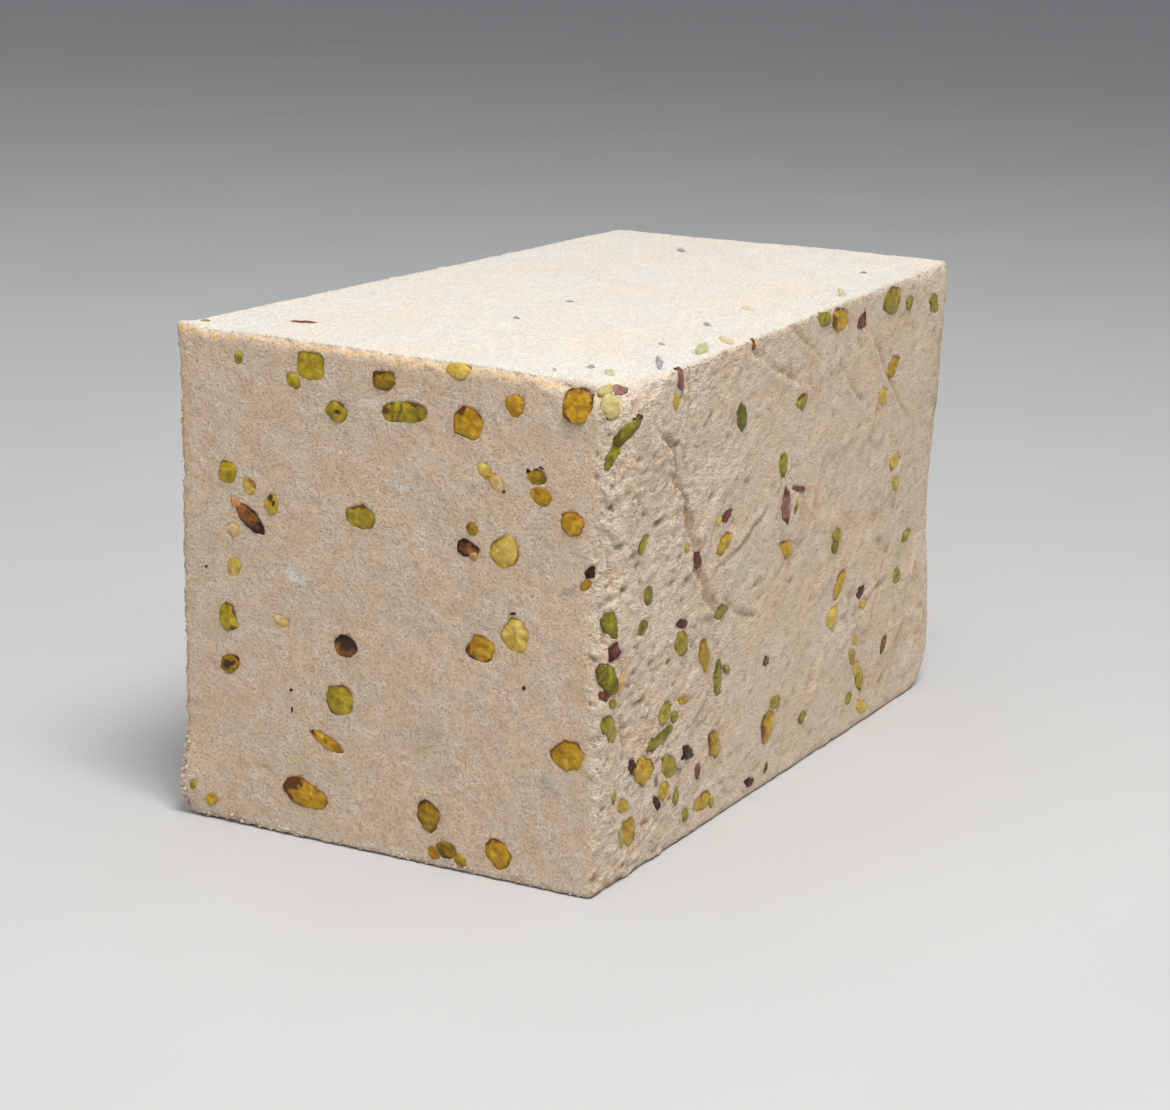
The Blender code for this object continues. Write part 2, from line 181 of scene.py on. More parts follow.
# Chips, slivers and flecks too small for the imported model, in the same form. A chip's name counts from 0.
CHIPS = {
    "cut": (
        ("moss_nut", 14.4, 103.7, 3, 2.2, 100),
        ("green_nut", 27, 100.6, 4, 3, -40),
        ("golden_nut", 75.8, 102, 4.8, 4.4, 90),
        ("yellow_nut", 63.5, 107.6, 5.8, 3.2, -6),
        ("pale_nut", 16.6, 76.2, 4.2, 3.2, 100),
        ("straw_nut", 22, 73.4, 4.6, 3.4, 100),
        ("peach_nut", 12.6, 66, 3.2, 3.2, 0),
        ("pale_nut", 13, 58, 4.2, 3.4, 90),
        ("dark_skin", 6, 57, 0.9, 0.6, 30),
        ("peach_nut", 24.5, 48, 4, 2.8, -20),
        ("pale_nut", 70, 87.8, 4, 3, -40),
        ("peach_nut", 72.6, 85.6, 4.8, 2.8, -50),
        ("dark_skin", 74.5, 84.1, 0.8, 0.6, 0),
        ("olive_nut", 81.4, 88.2, 4.6, 3.2, 10),
        ("dark_skin", 79.6, 88.9, 2.2, 1.2, -40),
        ("dark_skin", 81, 89.7, 1.6, 0.5, 30),
        ("dark_skin", 82.1, 90.2, 1.2, 0.5, -20),
        ("golden_nut", 82.3, 84.2, 4.8, 3.8, -10),
        ("olive_nut", 67.9, 75.2, 3.2, 2.4, -40),
        ("orange_fleck", 68.6, 69.4, 2.2, 1.8, 0),
        ("dark_skin", 94.2, 70, 3, 2, 70),
        ("olive_nut", 93.2, 67.4, 2.8, 2, 60),
        ("dark_skin", 81, 43.2, 1.4, 0.8, 80),
        ("dark_skin", 26.8, 33, 1.2, 0.8, 40),
        ("dark_skin", 27.2, 28.7, 1.6, 0.6, 90),
        ("straw_nut", 7.2, 4.8, 3.2, 2.8, 20),
        ("moss_nut", 3.5, 8.5, 2.4, 1.8, 60),
        ("golden_nut", 62.2, 3, 3.4, 2.4, -40),
        ("olive_nut", 68.4, 2.6, 3.4, 2.6, -50),
        ("dark_skin", 78, 58.7, 1.8, 0.8, 10),
        ("orange_fleck", 13.4, 72.3, 3, 2.2, -38),
        ("dark_skin", 36.8, 89, 1, 0.6, 60),
        ("leaf_nut", 97.6, 95, 7, 2, 68),
    ),
    "shown": (
        ("burgundy_skin", 3.4, 53.2, 4, 3.6, 60),
        ("burgundy_skin", 1.2, 44.4, 3.2, 2.6, 20),
        ("peach_nut", 7.8, 45.4, 5.4, 3.2, 75),
        ("burgundy_skin", 35.5, 51.6, 5.4, 2.2, -10),
        ("green_nut", 57.4, 33.4, 9.8, 5, -80),
        ("green_nut", 61.6, 34.8, 5.4, 1.8, -18),
        ("burgundy_skin", 55.4, 71.4, 5.6, 2.8, 6),
        ("yellow_nut", 51.4, 70.8, 3, 2.4, 0),
        ("green_nut", 86.2, 76.6, 7, 4.4, -70),
        ("brown_nut", 96, 69.2, 8.4, 1.4, -12),
        ("moss_nut", 95.5, 65, 3.4, 1.6, 70),
        ("green_nut", 105.5, 107, 8, 3.8, -12),
        ("green_nut", 165, 102.5, 5.4, 4, -20),
        ("yellow_nut", 148.5, 81.5, 6.6, 4, 0),
        ("golden_nut", 31.5, 15.5, 5.2, 4.6, -50),
        ("dark_skin", 29, 13.6, 4, 2.4, -40),
        ("golden_nut", 12.5, 17, 5.2, 3.2, -15),
        ("green_nut", 44.5, 6, 4.2, 2.8, -30),
        ("green_nut", 58.6, 4.4, 3.2, 2.4, -20),
        ("yellow_nut", 124, 32.4, 8, 5, 10),
        ("olive_nut", 92, 19.4, 7.2, 3.6, -10),
        ("yellow_nut", 140, 23, 4.4, 3, -20),
        ("olive_nut", 139, 18.8, 6.4, 3.6, -35),
        ("yellow_nut", 142.2, 15, 5.2, 3.6, -40),
        ("green_nut", 138, 8.6, 4.6, 3.2, 0),
        ("yellow_nut", 147.4, 4.2, 9, 3.4, -22),
        ("olive_nut", 30.4, 33, 6.8, 5, 20),
        ("green_nut", 35.2, 31, 4.4, 3, -20),
        ("green_nut", 28.4, 27.6, 12, 3, 14),
        ("dark_skin", 16, 24.6, 4.6, 2.6, -20),
        ("dark_skin", 42.6, 21, 8, 3.2, -22),
        ("burgundy_skin", 49.6, 14.6, 4.2, 2.8, -70),
        ("olive_nut", 123.6, 52.6, 6.4, 3.4, -10),
        ("green_nut", 123, 49.8, 5, 3.4, -20),
        ("burgundy_skin", 141.5, 34.6, 5.4, 3.4, 5),
        ("yellow_nut", 143.6, 31.4, 5.4, 2.4, -10),
        ("green_nut", 168, 32.6, 7, 4.4, -15),
        ("olive_nut", 175, 41.5, 7.2, 2.4, 8),
        ("yellow_nut", 161.5, 63.5, 9.4, 4, -8),
        ("pale_nut", 163.4, 57.4, 7, 3.4, -20),
        ("brown_nut", 160.6, 17, 5.4, 3.4, 50),
        ("burgundy_skin", 130.6, 102.6, 6, 4, 30),
        ("moss_nut", 182.2, 99.6, 8, 4.4, -30),
        ("rose_skin", 25.6, 106.6, 5.6, 3.2, -70),
        ("yellow_nut", 24, 102, 4.6, 2.6, 100),
        ("burgundy_skin", 84.4, 31, 4.2, 2.6, -10),
        ("green_nut", 109.2, 11.2, 5.2, 3, 0),
        ("green_nut", 18.2, 61.8, 5, 4.4, -40),
        ("green_nut", 16.2, 55.2, 5, 3.4, 6),
        ("burgundy_skin", 41.2, 64.6, 5.4, 3.4, -50),
        ("yellow_nut", 35.4, 68.2, 3.4, 2.2, -30),
        ("green_nut", 56.6, 49.4, 7.4, 3.6, 0),
        ("golden_nut", 39.2, 33.6, 5.6, 2.2, -20),
        ("dark_skin", 79.4, 3.4, 6.4, 2, -12),
        ("brown_nut", 88.4, 4.4, 3, 1.4, 60),
        ("green_nut", 8, 20.4, 3.4, 1.8, 80),
        ("green_nut", 38.5, 12.2, 5.2, 3.4, -60),
        ("yellow_nut", 50, 40.6, 2, 1.4, 0),
        ("lime_nut", 12.8, 9.8, 5.4, 2, -80),
        ("brown_nut", 64, 107.8, 2.6, 1.8, 80),
        ("moss_nut", 4.6, 41.6, 4, 2.2, -20),
    ),
    "top": (
        ("brown_nut", 18, 18.6, 6, 3.4, 35),
        ("rose_skin", 95.6, 4.4, 3.6, 3, 20),
        ("lime_nut", 93.6, 2.4, 3.8, 2.6, 60),
        ("grey_mark", 33.7, 165.9, 7, 2.2, -60),
        ("grey_mark", 48.1, 79.1, 3.2, 1.8, -60),
        ("cream_nut", 84, 95.9, 5.4, 2.4, -40),
        ("grey_mark", 84, 73.3, 4, 1.6, -60),
        ("grey_mark", 49, 52.4, 2.4, 1.4, -50),
        ("cream_nut", 95, 58.7, 10, 2.6, -56),
        ("pale_leaf", 94.2, 47, 16, 2.6, -70),
        ("grey_mark", 85.7, 45.9, 3.4, 1.4, -60),
        ("grey_mark", 93.4, 27.2, 14, 1.2, -64),
        ("grey_mark", 84.6, 14.4, 3, 1.6, -60),
        ("pale_leaf", 90, 11.6, 6, 2, -62),
        ("grey_mark", 80.3, 7.3, 3, 1, -60),
        ("cream_nut", 93.4, 130, 12, 1.2, -66),
        ("leaf_nut", 3, 6, 2.2, 1.4, 20),
        ("grey_mark", 87, 161, 3, 1.6, -60),
    ),
    "far": (
        ("green_nut", 10, 96, 4, 2.8, 20),
        ("golden_nut", 52, 82, 4.6, 3.6, -30),
        ("burgundy_skin", 36, 72, 4.8, 2.4, 40),
        ("pale_nut", 86, 66, 4.2, 3.4, 70),
        ("olive_nut", 14, 52, 4.6, 3.2, -50),
        ("green_nut", 60, 24, 4.4, 3, 10),
        ("dark_skin", 42, 40, 1.6, 1, 30),
        ("peach_nut", 70, 70, 4, 3, 0),
        ("golden_nut", 84, 20, 4.4, 3.4, -20),
    ),
    "hidden": (
        ("green_nut", 12, 62, 5, 2.6, 30),
        ("golden_nut", 40, 96, 5.2, 3.8, -20),
        ("burgundy_skin", 66, 66, 5, 2.6, -30),
        ("olive_nut", 82, 40, 4.8, 3.4, 50),
        ("yellow_nut", 38, 28, 5.6, 4, 10),
        ("green_nut", 102, 58, 5.2, 2.4, -50),
        ("pale_nut", 132, 88, 4.6, 3.6, 0),
        ("golden_nut", 140, 48, 5, 3.4, 35),
        ("burgundy_skin", 122, 38, 4.6, 2, 20),
        ("green_nut", 180, 50, 5, 3, -20),
        ("olive_nut", 176, 92, 5.4, 3.2, 15),
        ("dark_skin", 90, 18, 2.4, 1.4, 40),
        ("yellow_nut", 62, 12, 5, 3.2, -25),
    ),
}


def shares(point):
    """The point's place in the plain box, from 0 to 1 along X, Y and Z."""
    return (point.x / WIDTH + 0.5, point.y / LENGTH + 0.5, point.z / HEIGHT)


def fade(value):
    """1 near zero, falling smoothly to 0 at 1."""
    value = min(abs(value), 1.0)
    return 1.0 - value * value * (3.0 - 2.0 * value)


def edge_radius(point):
    radius = EDGE_RADIUS
    place = shares(point)
    for extra, centre, reach in WORN_PLACES:
        nearness = 1.0
        for here, there, spread in zip(place, centre, reach):
            nearness *= fade(max(0.0, abs(here - there) - 0.4 * spread) / (0.6 * spread))
        radius += extra * nearness
    return radius


def rounded(point):
    """A point of the plain box's surface, moved onto its rounded edges."""
    radius = edge_radius(point)
    core = Vector(
        (
            max(radius - WIDTH / 2, min(WIDTH / 2 - radius, point.x)),
            max(radius - LENGTH / 2, min(LENGTH / 2 - radius, point.y)),
            max(radius, min(HEIGHT - radius, point.z)),
        )
    )
    return core + (point - core).normalized() * radius


def rounded_far_base(point):
    """The point, squeezed onto the round of the far end's lower edge."""
    share = point.x / WIDTH + 0.5
    radius = FAR_BASE_RADIUS_HIDDEN + (FAR_BASE_RADIUS_SHOWN - FAR_BASE_RADIUS_HIDDEN) * share
    centre = Vector((point.x, LENGTH / 2 - radius, radius))
    ray = point - centre
    if ray.y <= 0 or ray.z >= 0:
        return point
    return centre + ray * max(ray.y, -ray.z) / ray.length


def corner_shift(point):
    shift = Vector((0.0, 0.0, 0.0))
    place = shares(point)
    for corner, move in CORNER_SHIFTS.items():
        weight = 1.0
        for side, share in zip(corner, place):
            weight *= share if side else 1.0 - share
        shift += Vector(move) * weight
    return shift


def slow_relief(point):
    """How far the surface stands out here, from its waves, lumps and dents. The base stays flat."""
    height = WAVE_HEIGHT * noise.noise(point / WAVE_LENGTH)
    for lump, centre, radius in LUMPS:
        gap = (point - Vector(centre)).length / radius
        height += lump * math.exp(-gap * gap)
    return height * min(1.0, point.z / 5.0)


def block_point(point):
    """Where a point of the plain box's surface lies on the real block."""
    smooth = rounded_far_base(rounded(point))
    middle = Vector((0.0, point.y * 0.6, HEIGHT / 2))
    outward = (smooth - middle).normalized()
    outward.z *= min(1.0, point.z / 8.0)
    return smooth + corner_shift(smooth) + outward * slow_relief(point) + Vector(BLOCK_PLACE)


def face_point(face, across, up):
    """The point of the plain box at this place on a face."""
    corner, right, upward, _, _ = FACES[face]
    return Vector(corner) + Vector(right) * across + Vector(upward) * up


def turned(across, up, angle):
    """The same place or places as seen along axes that are turned by an angle."""
    lean, rise = math.cos(angle), math.sin(angle)
    return across * lean + up * rise, up * lean - across * rise


# ---------------------------------------------------------------- nuts: outline and setting
NUT_RECESS = 0.35
NUT_DEPTH_SHARE = 0.62
CHIP_DEPTH_SHARE = 0.45
POCKET_LIP = -0.30
SMALL_CHIP = 0.55
RIM_STEPS = 360
CUT_RIM = {"power": 2.1, "ragged": 0.065, "planes": 1}
UNCUT_RIM = {"power": 1.75, "ragged": 0.11, "planes": 2}
SKIN_RIM = {"power": 1.9, "ragged": 0.2, "planes": 2}
RIM_OF = {
    "grey_mark": {"power": 1.5, "ragged": 0.2, "planes": 0},
    "burgundy_skin": SKIN_RIM,
    "rose_skin": SKIN_RIM,
    "dark_skin": {**SKIN_RIM, "planes": 1},
}
RIM_WAVES = 11
PLANE_REACH = (0.74, 0.96)
SMOOTHING = 5
PHASES = 60


class Nut:
    """One nut or chip: its outline, and its frame on the block's surface."""

    def __init__(self, name, face, kind, across, up, length, breadth, turn, node):
        self.name = name
        self.face = face
        self.across = across
        self.up = up
        self.half_length = length / 2
        self.look = LOOKS.get(name, {})
        self.half_breadth = self.look.get("slim", 1.0) * breadth / 2
        self.turn = math.radians(turn)
        self.kind = kind
        self.node = node
        self.chance = random.Random(name)
        self.phase = self.chance.uniform(0, PHASES)
        self.depth = breadth * (NUT_DEPTH_SHARE if node else CHIP_DEPTH_SHARE)
        self.pocketed = node or self.half_breadth > SMALL_CHIP
        self.rim_angles = np.linspace(0, math.tau, RIM_STEPS + 1)
        self.rim = self.make_rim()
        self.set_frame()

    def make_rim(self):
        """How far the outline reaches at each angle, as a share of the half length and breadth."""
        usual = RIM_OF.get(self.kind, CUT_RIM if self.face == "cut" else UNCUT_RIM)
        power, ragged, planes = (self.look.get(key, usual[key]) for key in ("power", "ragged", "planes"))
        angle = self.rim_angles[:-1]
        reach = (np.abs(np.cos(angle)) ** power + np.abs(np.sin(angle)) ** power) ** (-1 / power)
        for waves in range(1, RIM_WAVES):
            swing = ragged * self.chance.uniform(-1, 1) / (0.7 + 0.3 * waves)
            reach *= 1 + swing * np.cos(waves * angle + self.chance.uniform(0, math.tau))
        for _ in range(planes):
            lean = np.maximum(np.cos(angle - self.chance.uniform(0, math.tau)), 0.01)
            reach = np.minimum(reach, self.chance.uniform(*PLANE_REACH) / lean)
        reach = sum(np.roll(reach, shift) for shift in range(-SMOOTHING, SMOOTHING + 1))
        reach = reach / (2 * SMOOTHING + 1)
        return np.append(reach, reach[0])

    def set_frame(self):
        """X along the nut and Z straight out of the face, and the scales from the face's mm to the nut's."""
        step = 1.5
        middle = face_point(self.face, self.across, self.up)
        right = Vector(FACES[self.face][1]) * step
        upward = Vector(FACES[self.face][2]) * step
        side = block_point(middle + right) - block_point(middle - right)
        rise = block_point(middle + upward) - block_point(middle - upward)
        out = side.cross(rise).normalized()
        along = Matrix.Rotation(self.turn, 3, out) @ side.normalized()
        along = (along - out * along.dot(out)).normalized()
        self.scale = (side.length / (2 * step), rise.length / (2 * step))
        self.axes = np.array((along, out.cross(along), out))
        self.middle = np.array(block_point(middle) - out * NUT_RECESS)

    def reach(self, angle):
        return np.interp(np.mod(angle, math.tau), self.rim_angles, self.rim)

    def outline(self, angle, grow=0.0):
        """(x, y) of the outline at each angle, in the nut's own frame."""
        reach = self.reach(angle)
        x = (self.half_length * reach + grow) * np.cos(angle)
        y = (self.half_breadth * reach + grow) * np.sin(angle)
        return x, y

    def nearness(self, x, y):
        """Each point's place from the middle, 0, to the outline, 1, and its distance past the outline."""
        lean, rise = x / self.half_length, y / self.half_breadth
        share = np.maximum(np.hypot(lean, rise) / self.reach(np.arctan2(rise, lean)), 1e-6)
        distance = np.hypot(x, y)
        return share, distance - distance / share

    def on_face(self, x, y):
        """Places across and up the face of points in the nut's own frame."""
        across, up = turned(x, y, -self.turn)
        return self.across + across / self.scale[0], self.up + up / self.scale[1]

    def local(self, points):
        return (points - self.middle) @ self.axes.T

    def world(self, points):
        return points @ self.axes + self.middle


# Where single nuts and chips differ from their kind, as seen on the face, in degrees and shares of the nut.
# power: over 2 squares the outline and under 2 points it. ragged, planes: how uneven and how faceted it is.
# slim: the share of its breadth that is left. tone: the direction of the second colour. deep: how much of
# the deep colour shows. kernel: the kind whose colours it has. cracks: (direction, offset in mm), darkened
# with painted shade. skin: arcs of (direction, spread, how far in), partly the dark skin and partly painted
# shadow of the pocket wall. dark: spots of (across, up, radius), painted shade of holes in the nut.
def look(power, tone, *skins, **others):
    found = {"power": power, "tone": tone, **others}
    if skins:
        found["skin"] = skins
    return found


LOOKS = {
    "cut_nut_01": look(4.2, -100, (5, 40, 0.06), planes=0, deep=0.05),
    "cut_nut_02": look(2.6, 150, (125, 70, 0.30), (-60, 40, 0.12), deep=0.4),
    "cut_nut_03": look(2.6, 170, (172, 30, 0.40), (60, 40, 0.12), cracks=((5, -2.7), (-6, -0.9), (8, 3.2))),
    "cut_nut_04": look(2.2, -40, (125, 30, 0.30), (-100, 60, 0.10)),
    "cut_nut_05": look(2.4, -60, (110, 70, 0.20), (20, 50, 0.14), (-140, 40, 0.1)),
    "cut_nut_06": look(2.6, 180, (60, 40, 0.14), dark=((0.15, -0.1, 0.22),), deep=0.3),
    "cut_nut_07": look(2.2, 190, (100, 40, 0.10)),
    "cut_nut_08": look(1.7, 140, (-40, 75, 0.55), (60, 50, 0.2), (-130, 40, 0.2)),
    "cut_nut_09": look(2.3, -80, (100, 50, 0.34)),
    "cut_nut_10": look(2.1, 30, (140, 50, 0.20), (-20, 40, 0.08)),
    "cut_nut_11": look(2.9, -20, (-30, 50, 0.12), (130, 40, 0.1)),
    "cut_nut_12": look(2.2, -60, (90, 120, 0.5), (-120, 60, 0.3), deep=0.5),
    "cut_nut_13": look(2.2, 60, (110, 40, 0.10)),
    "cut_nut_14": look(2.3, -30, (-150, 60, 0.34), (-50, 40, 0.1)),
    "cut_nut_15": look(2.2, -70, (40, 60, 0.2), (-60, 30, 0.2)),
    "cut_nut_16": look(2.0, -130, (80, 110, 0.5), dark=((0.1, 0.1, 0.4),)),
    "cut_nut_17": look(1.9, 0, dark=((-0.2, 0.0, 0.4), (0.4, 0.1, 0.2))),
    "cut_nut_18": look(2.3, -20, (-140, 40, 0.14), (60, 30, 0.1), deep=0.1),
    "cut_nut_19": look(1.8, 150, (160, 30, 0.2)),
    "cut_nut_20": look(2.2, -20, (140, 56, 0.55), (-160, 40, 0.2)),
    "cut_nut_21": look(1.9, -90, (130, 50, 0.2), (60, 40, 0.15)),
    "cut_nut_22": look(2.2, 80, (-100, 60, 0.25)),
    "cut_nut_23": look(2.4, -60, (120, 60, 0.22), (-10, 50, 0.1)),
    "cut_nut_24": look(2.2, -70, (100, 60, 0.12), (-170, 30, 0.1)),
    "cut_nut_25": look(2.0, 150, kernel="lime_nut", slim=0.85, deep=0.1),
    "side_nut_01": look(1.7, 0, (-140, 60, 0.2), slim=0.74, planes=0, dark=((0.72, 0.68, 0.22),), deep=0.7),
    "side_nut_02": look(1.8, -60, deep=0.9),
    "side_nut_04": look(1.8, -60, slim=0.8, ragged=0.14, planes=1, deep=0.55),
    "side_nut_05": look(2.1, -60, kernel="leaf_nut", ragged=0.05, planes=0, deep=0.45),
    "side_nut_06": look(2.2, -40, kernel="moss_nut", deep=0.1),
    "side_nut_08": look(2.0, -80, (100, 40, 0.16)),
    "side_nut_09": look(1.9, 0),
    "side_nut_10": look(1.7, -60, (120, 60, 0.2)),
    "side_nut_11": look(1.8, 60, (90, 60, 0.3), (-90, 60, 0.3), kernel="rose_skin", deep=0.4),
    "side_nut_12": look(1.9, 180, (100, 60, 0.24)),
    "side_nut_13": look(2.2, 0, (180, 50, 0.5), (90, 40, 0.2)),
    "side_nut_14": look(2.2, 30, (100, 30, 0.1)),
    "side_nut_15": look(1.6, 20, (30, 40, 0.2), kernel="straw_nut"),
    "side_nut_17": look(2.3, 160),
    "side_nut_19": look(1.9, 60, (-20, 60, 0.3), deep=0.5),
    "side_nut_21": {"kernel": "straw_nut"},
    "side_nut_22": look(2.1, 30, (170, 80, 0.55), kernel="straw_nut", deep=0.25),
    "cut_chip_4": {"tone": -100, "skin": ((50, 60, 0.35),), "deep": 0.4},
    "cut_chip_5": {"tone": -80, "dark": ((-0.1, 0.5, 0.35), (0.35, 0.15, 0.25))},
    "cut_chip_27": {"deep": 0.6},
    "shown_chip_4": {"tone": -90, "deep": 0.7},
    "shown_chip_5": {"deep": 0.8},
    "shown_chip_6": {"deep": 0.8},
    "shown_chip_24": {"deep": 0.6},
    "shown_chip_34": {"deep": 0.8},
    "shown_chip_37": {"deep": 0.7},
    "shown_chip_48": {"deep": 0.75},
}


def all_nuts():
    """Every nut node and every chip."""
    nuts = []
    for face, rows in NUTS.items():
        for number, row in enumerate(rows, 1):
            nuts.append(Nut(f"{NODE_NAMES[face]}_{number:02}", face, *row, True))
    for face, rows in CHIPS.items():
        for number, row in enumerate(rows):
            nuts.append(Nut(f"{face}_chip_{number}", face, *row, False))
    return nuts


# ---------------------------------------------------------------- halva: points on the box's faces
# Bands of points on each face, as (from, to, spacing), counted across it, or up it on the top and base.
BANDS = {
    "cut": ((0, WIDTH, 0.66),),
    "shown": ((0, 48, 0.70), (48, 100, 0.86), (100, LENGTH, 1.05)),
    "top": ((0, 70, 1.15), (70, LENGTH, 1.5)),
    "far": ((0, WIDTH, 1.7),),
    "hidden": ((0, LENGTH, 1.9),),
    "base": ((0, LENGTH, 4.0),),
}
BANDS_GO_UP = ("top", "base")
FINE_EDGE = 0.5
PLAIN_EDGE = 1.5
RING_STEP = 0.45
RING_OUT = -0.12
RING_IN = -0.50
RING_JITTER = 0.10
RING_CLEARANCE = 0.2
DEEP_RING_SHARE = 0.6
FEWEST_RING_POINTS = 10
WIDE_NUT = 1.2
BORDER_MARGIN = 0.22
RING_MARGIN = 0.2
# Rows of points inside a face: where they start, their rise and how far points stray, in spacings.
ROW_STARTS = (0.8, 0.3)
ROW_RISE = 0.87
STRAY = 0.28
SKIN_SEED = 7


def edge_places(axis, sides):
    """Places of points along one edge of the box. sides are the edge's signs on the other two axes."""
    span = (WIDTH, LENGTH, HEIGHT)[axis]
    others = [name for name in range(3) if name != axis]
    sign = dict(zip(others, sides))
    near = sign.get(1, -1) < 0
    shown = sign.get(0, 1) > 0
    step = FINE_EDGE if near and shown or (axis == 0 and near) or (axis == 1 and shown) else PLAIN_EDGE
    count = round(span / step)
    low = 0.0 if axis == 2 else -span / 2
    return [low + span * i / count for i in range(count + 1)]


def border_points(face):
    """Points along the four borders of a face, as (across, up)."""
    corner, right, upward, width, height = FACES[face]
    corner, right, upward = Vector(corner), Vector(right), Vector(upward)
    out = right.cross(upward)
    points = set()
    for along, level, offset in (
        (right, upward, 0.0),
        (right, upward, height),
        (upward, right, 0.0),
        (upward, right, width),
    ):
        axis = max(range(3), key=lambda n: abs(along[n]))
        level_sign = 1 if offset else -1
        signs = []
        for other in range(3):
            if other != axis:
                signs.append((level[other] * level_sign) or out[other])
        for place in edge_places(axis, signs):
            here = round((place - corner[axis]) * along[axis], 5)
            points.add((here, offset) if along == right else (offset, here))
    return sorted(points)


def clear_of_borders(points, face, margin):
    limits = np.array(FACES[face][3:]) - margin
    return points[((points > margin) & (points < limits)).all(axis=1)]


def inner_points(face, chance):
    """Jittered points inside a face, in rows of alternating offset, as an array of (across, up)."""
    width, height = FACES[face][3:]
    points = []
    for start, end, step in BANDS[face]:
        spans = ((0, width), (start, end)) if face in BANDS_GO_UP else ((start, end), (0, height))
        (left, right), (low, high) = spans
        line = 0
        level = low + step * 0.5
        while level < high:
            place = left + step * ROW_STARTS[line % 2]
            while place < right:
                aside = chance.uniform(-STRAY, STRAY) * step
                points.append((place + aside, level + chance.uniform(-STRAY, STRAY) * step))
                place += step
            level += step * ROW_RISE
            line += 1
    return clear_of_borders(np.array(points), face, BORDER_MARGIN)


def ring_points(nut, grow, chance, jitter=0.0, step=RING_STEP):
    """Points round a nut's outline, grown or shrunk a little, as (across, up)."""
    count = max(FEWEST_RING_POINTS, round(math.pi * (nut.half_length + nut.half_breadth) / step))
    angle = np.arange(count) * math.tau / count
    grow = grow + np.array([chance.uniform(-jitter, jitter) for _ in angle])
    return np.stack(nut.on_face(*nut.outline(angle, grow)), axis=1)


def face_mesh(face, nuts, chance):
    """(points across and up, triangles) of one face, with rings of points in each nut's pocket."""
    points = inner_points(face, chance)
    rings = []
    for nut in nuts:
        if nut.face != face or not nut.pocketed:
            continue
        gap_across = (points[:, 0] - nut.across) * nut.scale[0]
        gap_up = (points[:, 1] - nut.up) * nut.scale[1]
        beyond = nut.nearness(*turned(gap_across, gap_up, nut.turn))[1]
        points = points[beyond > RING_OUT + RING_CLEARANCE]
        deep = -DEEP_RING_SHARE * nut.half_breadth
        rings.append(ring_points(nut, RING_OUT, chance, RING_JITTER))
        rings.append(ring_points(nut, max(RING_IN, deep), chance))
        if nut.half_breadth > WIDE_NUT:
            rings.append(ring_points(nut, deep, chance, 0.0, 2 * RING_STEP))
        rings.append(np.array([[nut.across, nut.up]]))
    if rings:
        rings = clear_of_borders(np.concatenate(rings), face, RING_MARGIN)
        points = np.concatenate((points, rings))
    points = np.concatenate((np.array(border_points(face)), points))
    flat = [Vector(point) for point in points]
    corners, _, triangles, _, _, _ = delaunay_2d_cdt(flat, [], [], 0, 1e-4, False)
    return np.array([tuple(corner) for corner in corners]), triangles


def skin_mesh(nuts):
    """(points, triangles) of the plain box's whole skin."""
    chance = random.Random(SKIN_SEED)
    index = {}
    places = []
    triangles = []
    for face in FACES:
        corners, found = face_mesh(face, nuts, chance)
        numbers = []
        for across, up in corners:
            place = face_point(face, across, up)
            key = tuple(round(value, 3) for value in place)
            if key not in index:
                index[key] = len(places)
                places.append(place)
            numbers.append(index[key])
        for triangle in found:
            triangles.append([numbers[i] for i in triangle])
    return places, np.array(triangles)


def vertex_normals(points, triangles):
    """Each point's unit normal, from the triangles round it."""
    a, b, c = (points[triangles[:, i]] for i in range(3))
    face_normals = np.cross(b - a, c - a)
    normals = np.zeros_like(points)
    for i in range(3):
        np.add.at(normals, triangles[:, i], face_normals)
    return normals / np.maximum(np.linalg.norm(normals, axis=1, keepdims=True), 1e-12)


# ---------------------------------------------------------------- halva: relief
# A broken ledge on the shown side, near side proud, as (across, up) from its top down.
LEDGE = ((19, 95), (25, 89), (27, 84), (31, 80), (34, 74), (37, 70), (40, 62), (47, 54), (51, 50))
LEDGE_FOOT = 48
LEDGE_HEAD = 97
LEDGE_RISE = 0.65
LEDGE_DROP = 0.9
LEDGE_FADE = 3.0
# Where the smooth cut ends near the upright edge, as how far across the cut face at each height.
CUT_END_HEIGHTS = (0, 11, 22, 34.5, 50, 64, 77, 95.6, 104, 109)
CUT_END_PLACES = (99.5, 99.2, 97.0, 95.7, 94.7, 94.4, 94.8, 93.3, 92.6, 92.0)
# Cracks on the shown side, from their upper end.
CRACKS = (
    ((60, 108), (65, 105.7), (79, 100), (93.5, 94)),
    ((85, 108), (88, 107), (98, 102.3), (107, 97)),
    ((130, 104), (142.5, 95), (151, 86.5), (167, 74)),
    ((117, 95.5), (126, 88), (134, 83)),
    ((30.5, 107), (31.5, 101), (31, 96)),
    ((8, 38), (12, 30), (15, 26)),
    ((78, 68), (64, 62), (52, 60)),
    ((76, 44), (66, 47), (58, 52)),
    ((160, 34), (150, 33), (139, 30)),
)
CRACK_BREADTH = 0.6
CRACK_DEPTH = 0.50
CRACK_RIM = 0.25
# The strongest painted shade in the side's hollows and cracks.
HOLLOW_SHADE_SHARE = 0.75
PIT_DEPTH = 1.6
# How the shown side flakes and scrapes: the direction up from level, and plate size along and across it.
FLAKE_RISE = math.radians(32)
FLAKE_LENGTH = 15.0
FLAKE_BREADTH = 8.0
FLAKE_STEP = 0.75
FLAKE_GAP_DEPTH = 0.30
SCRAPE_LENGTH = 9.0
SCRAPE_BREADTH = 1.7
SCRAPE_HEIGHT = 0.09
# Crumbs are twice as long along the block, the way it was pressed.
GRAIN_STRETCH = (1.0, 0.5, 1.0)
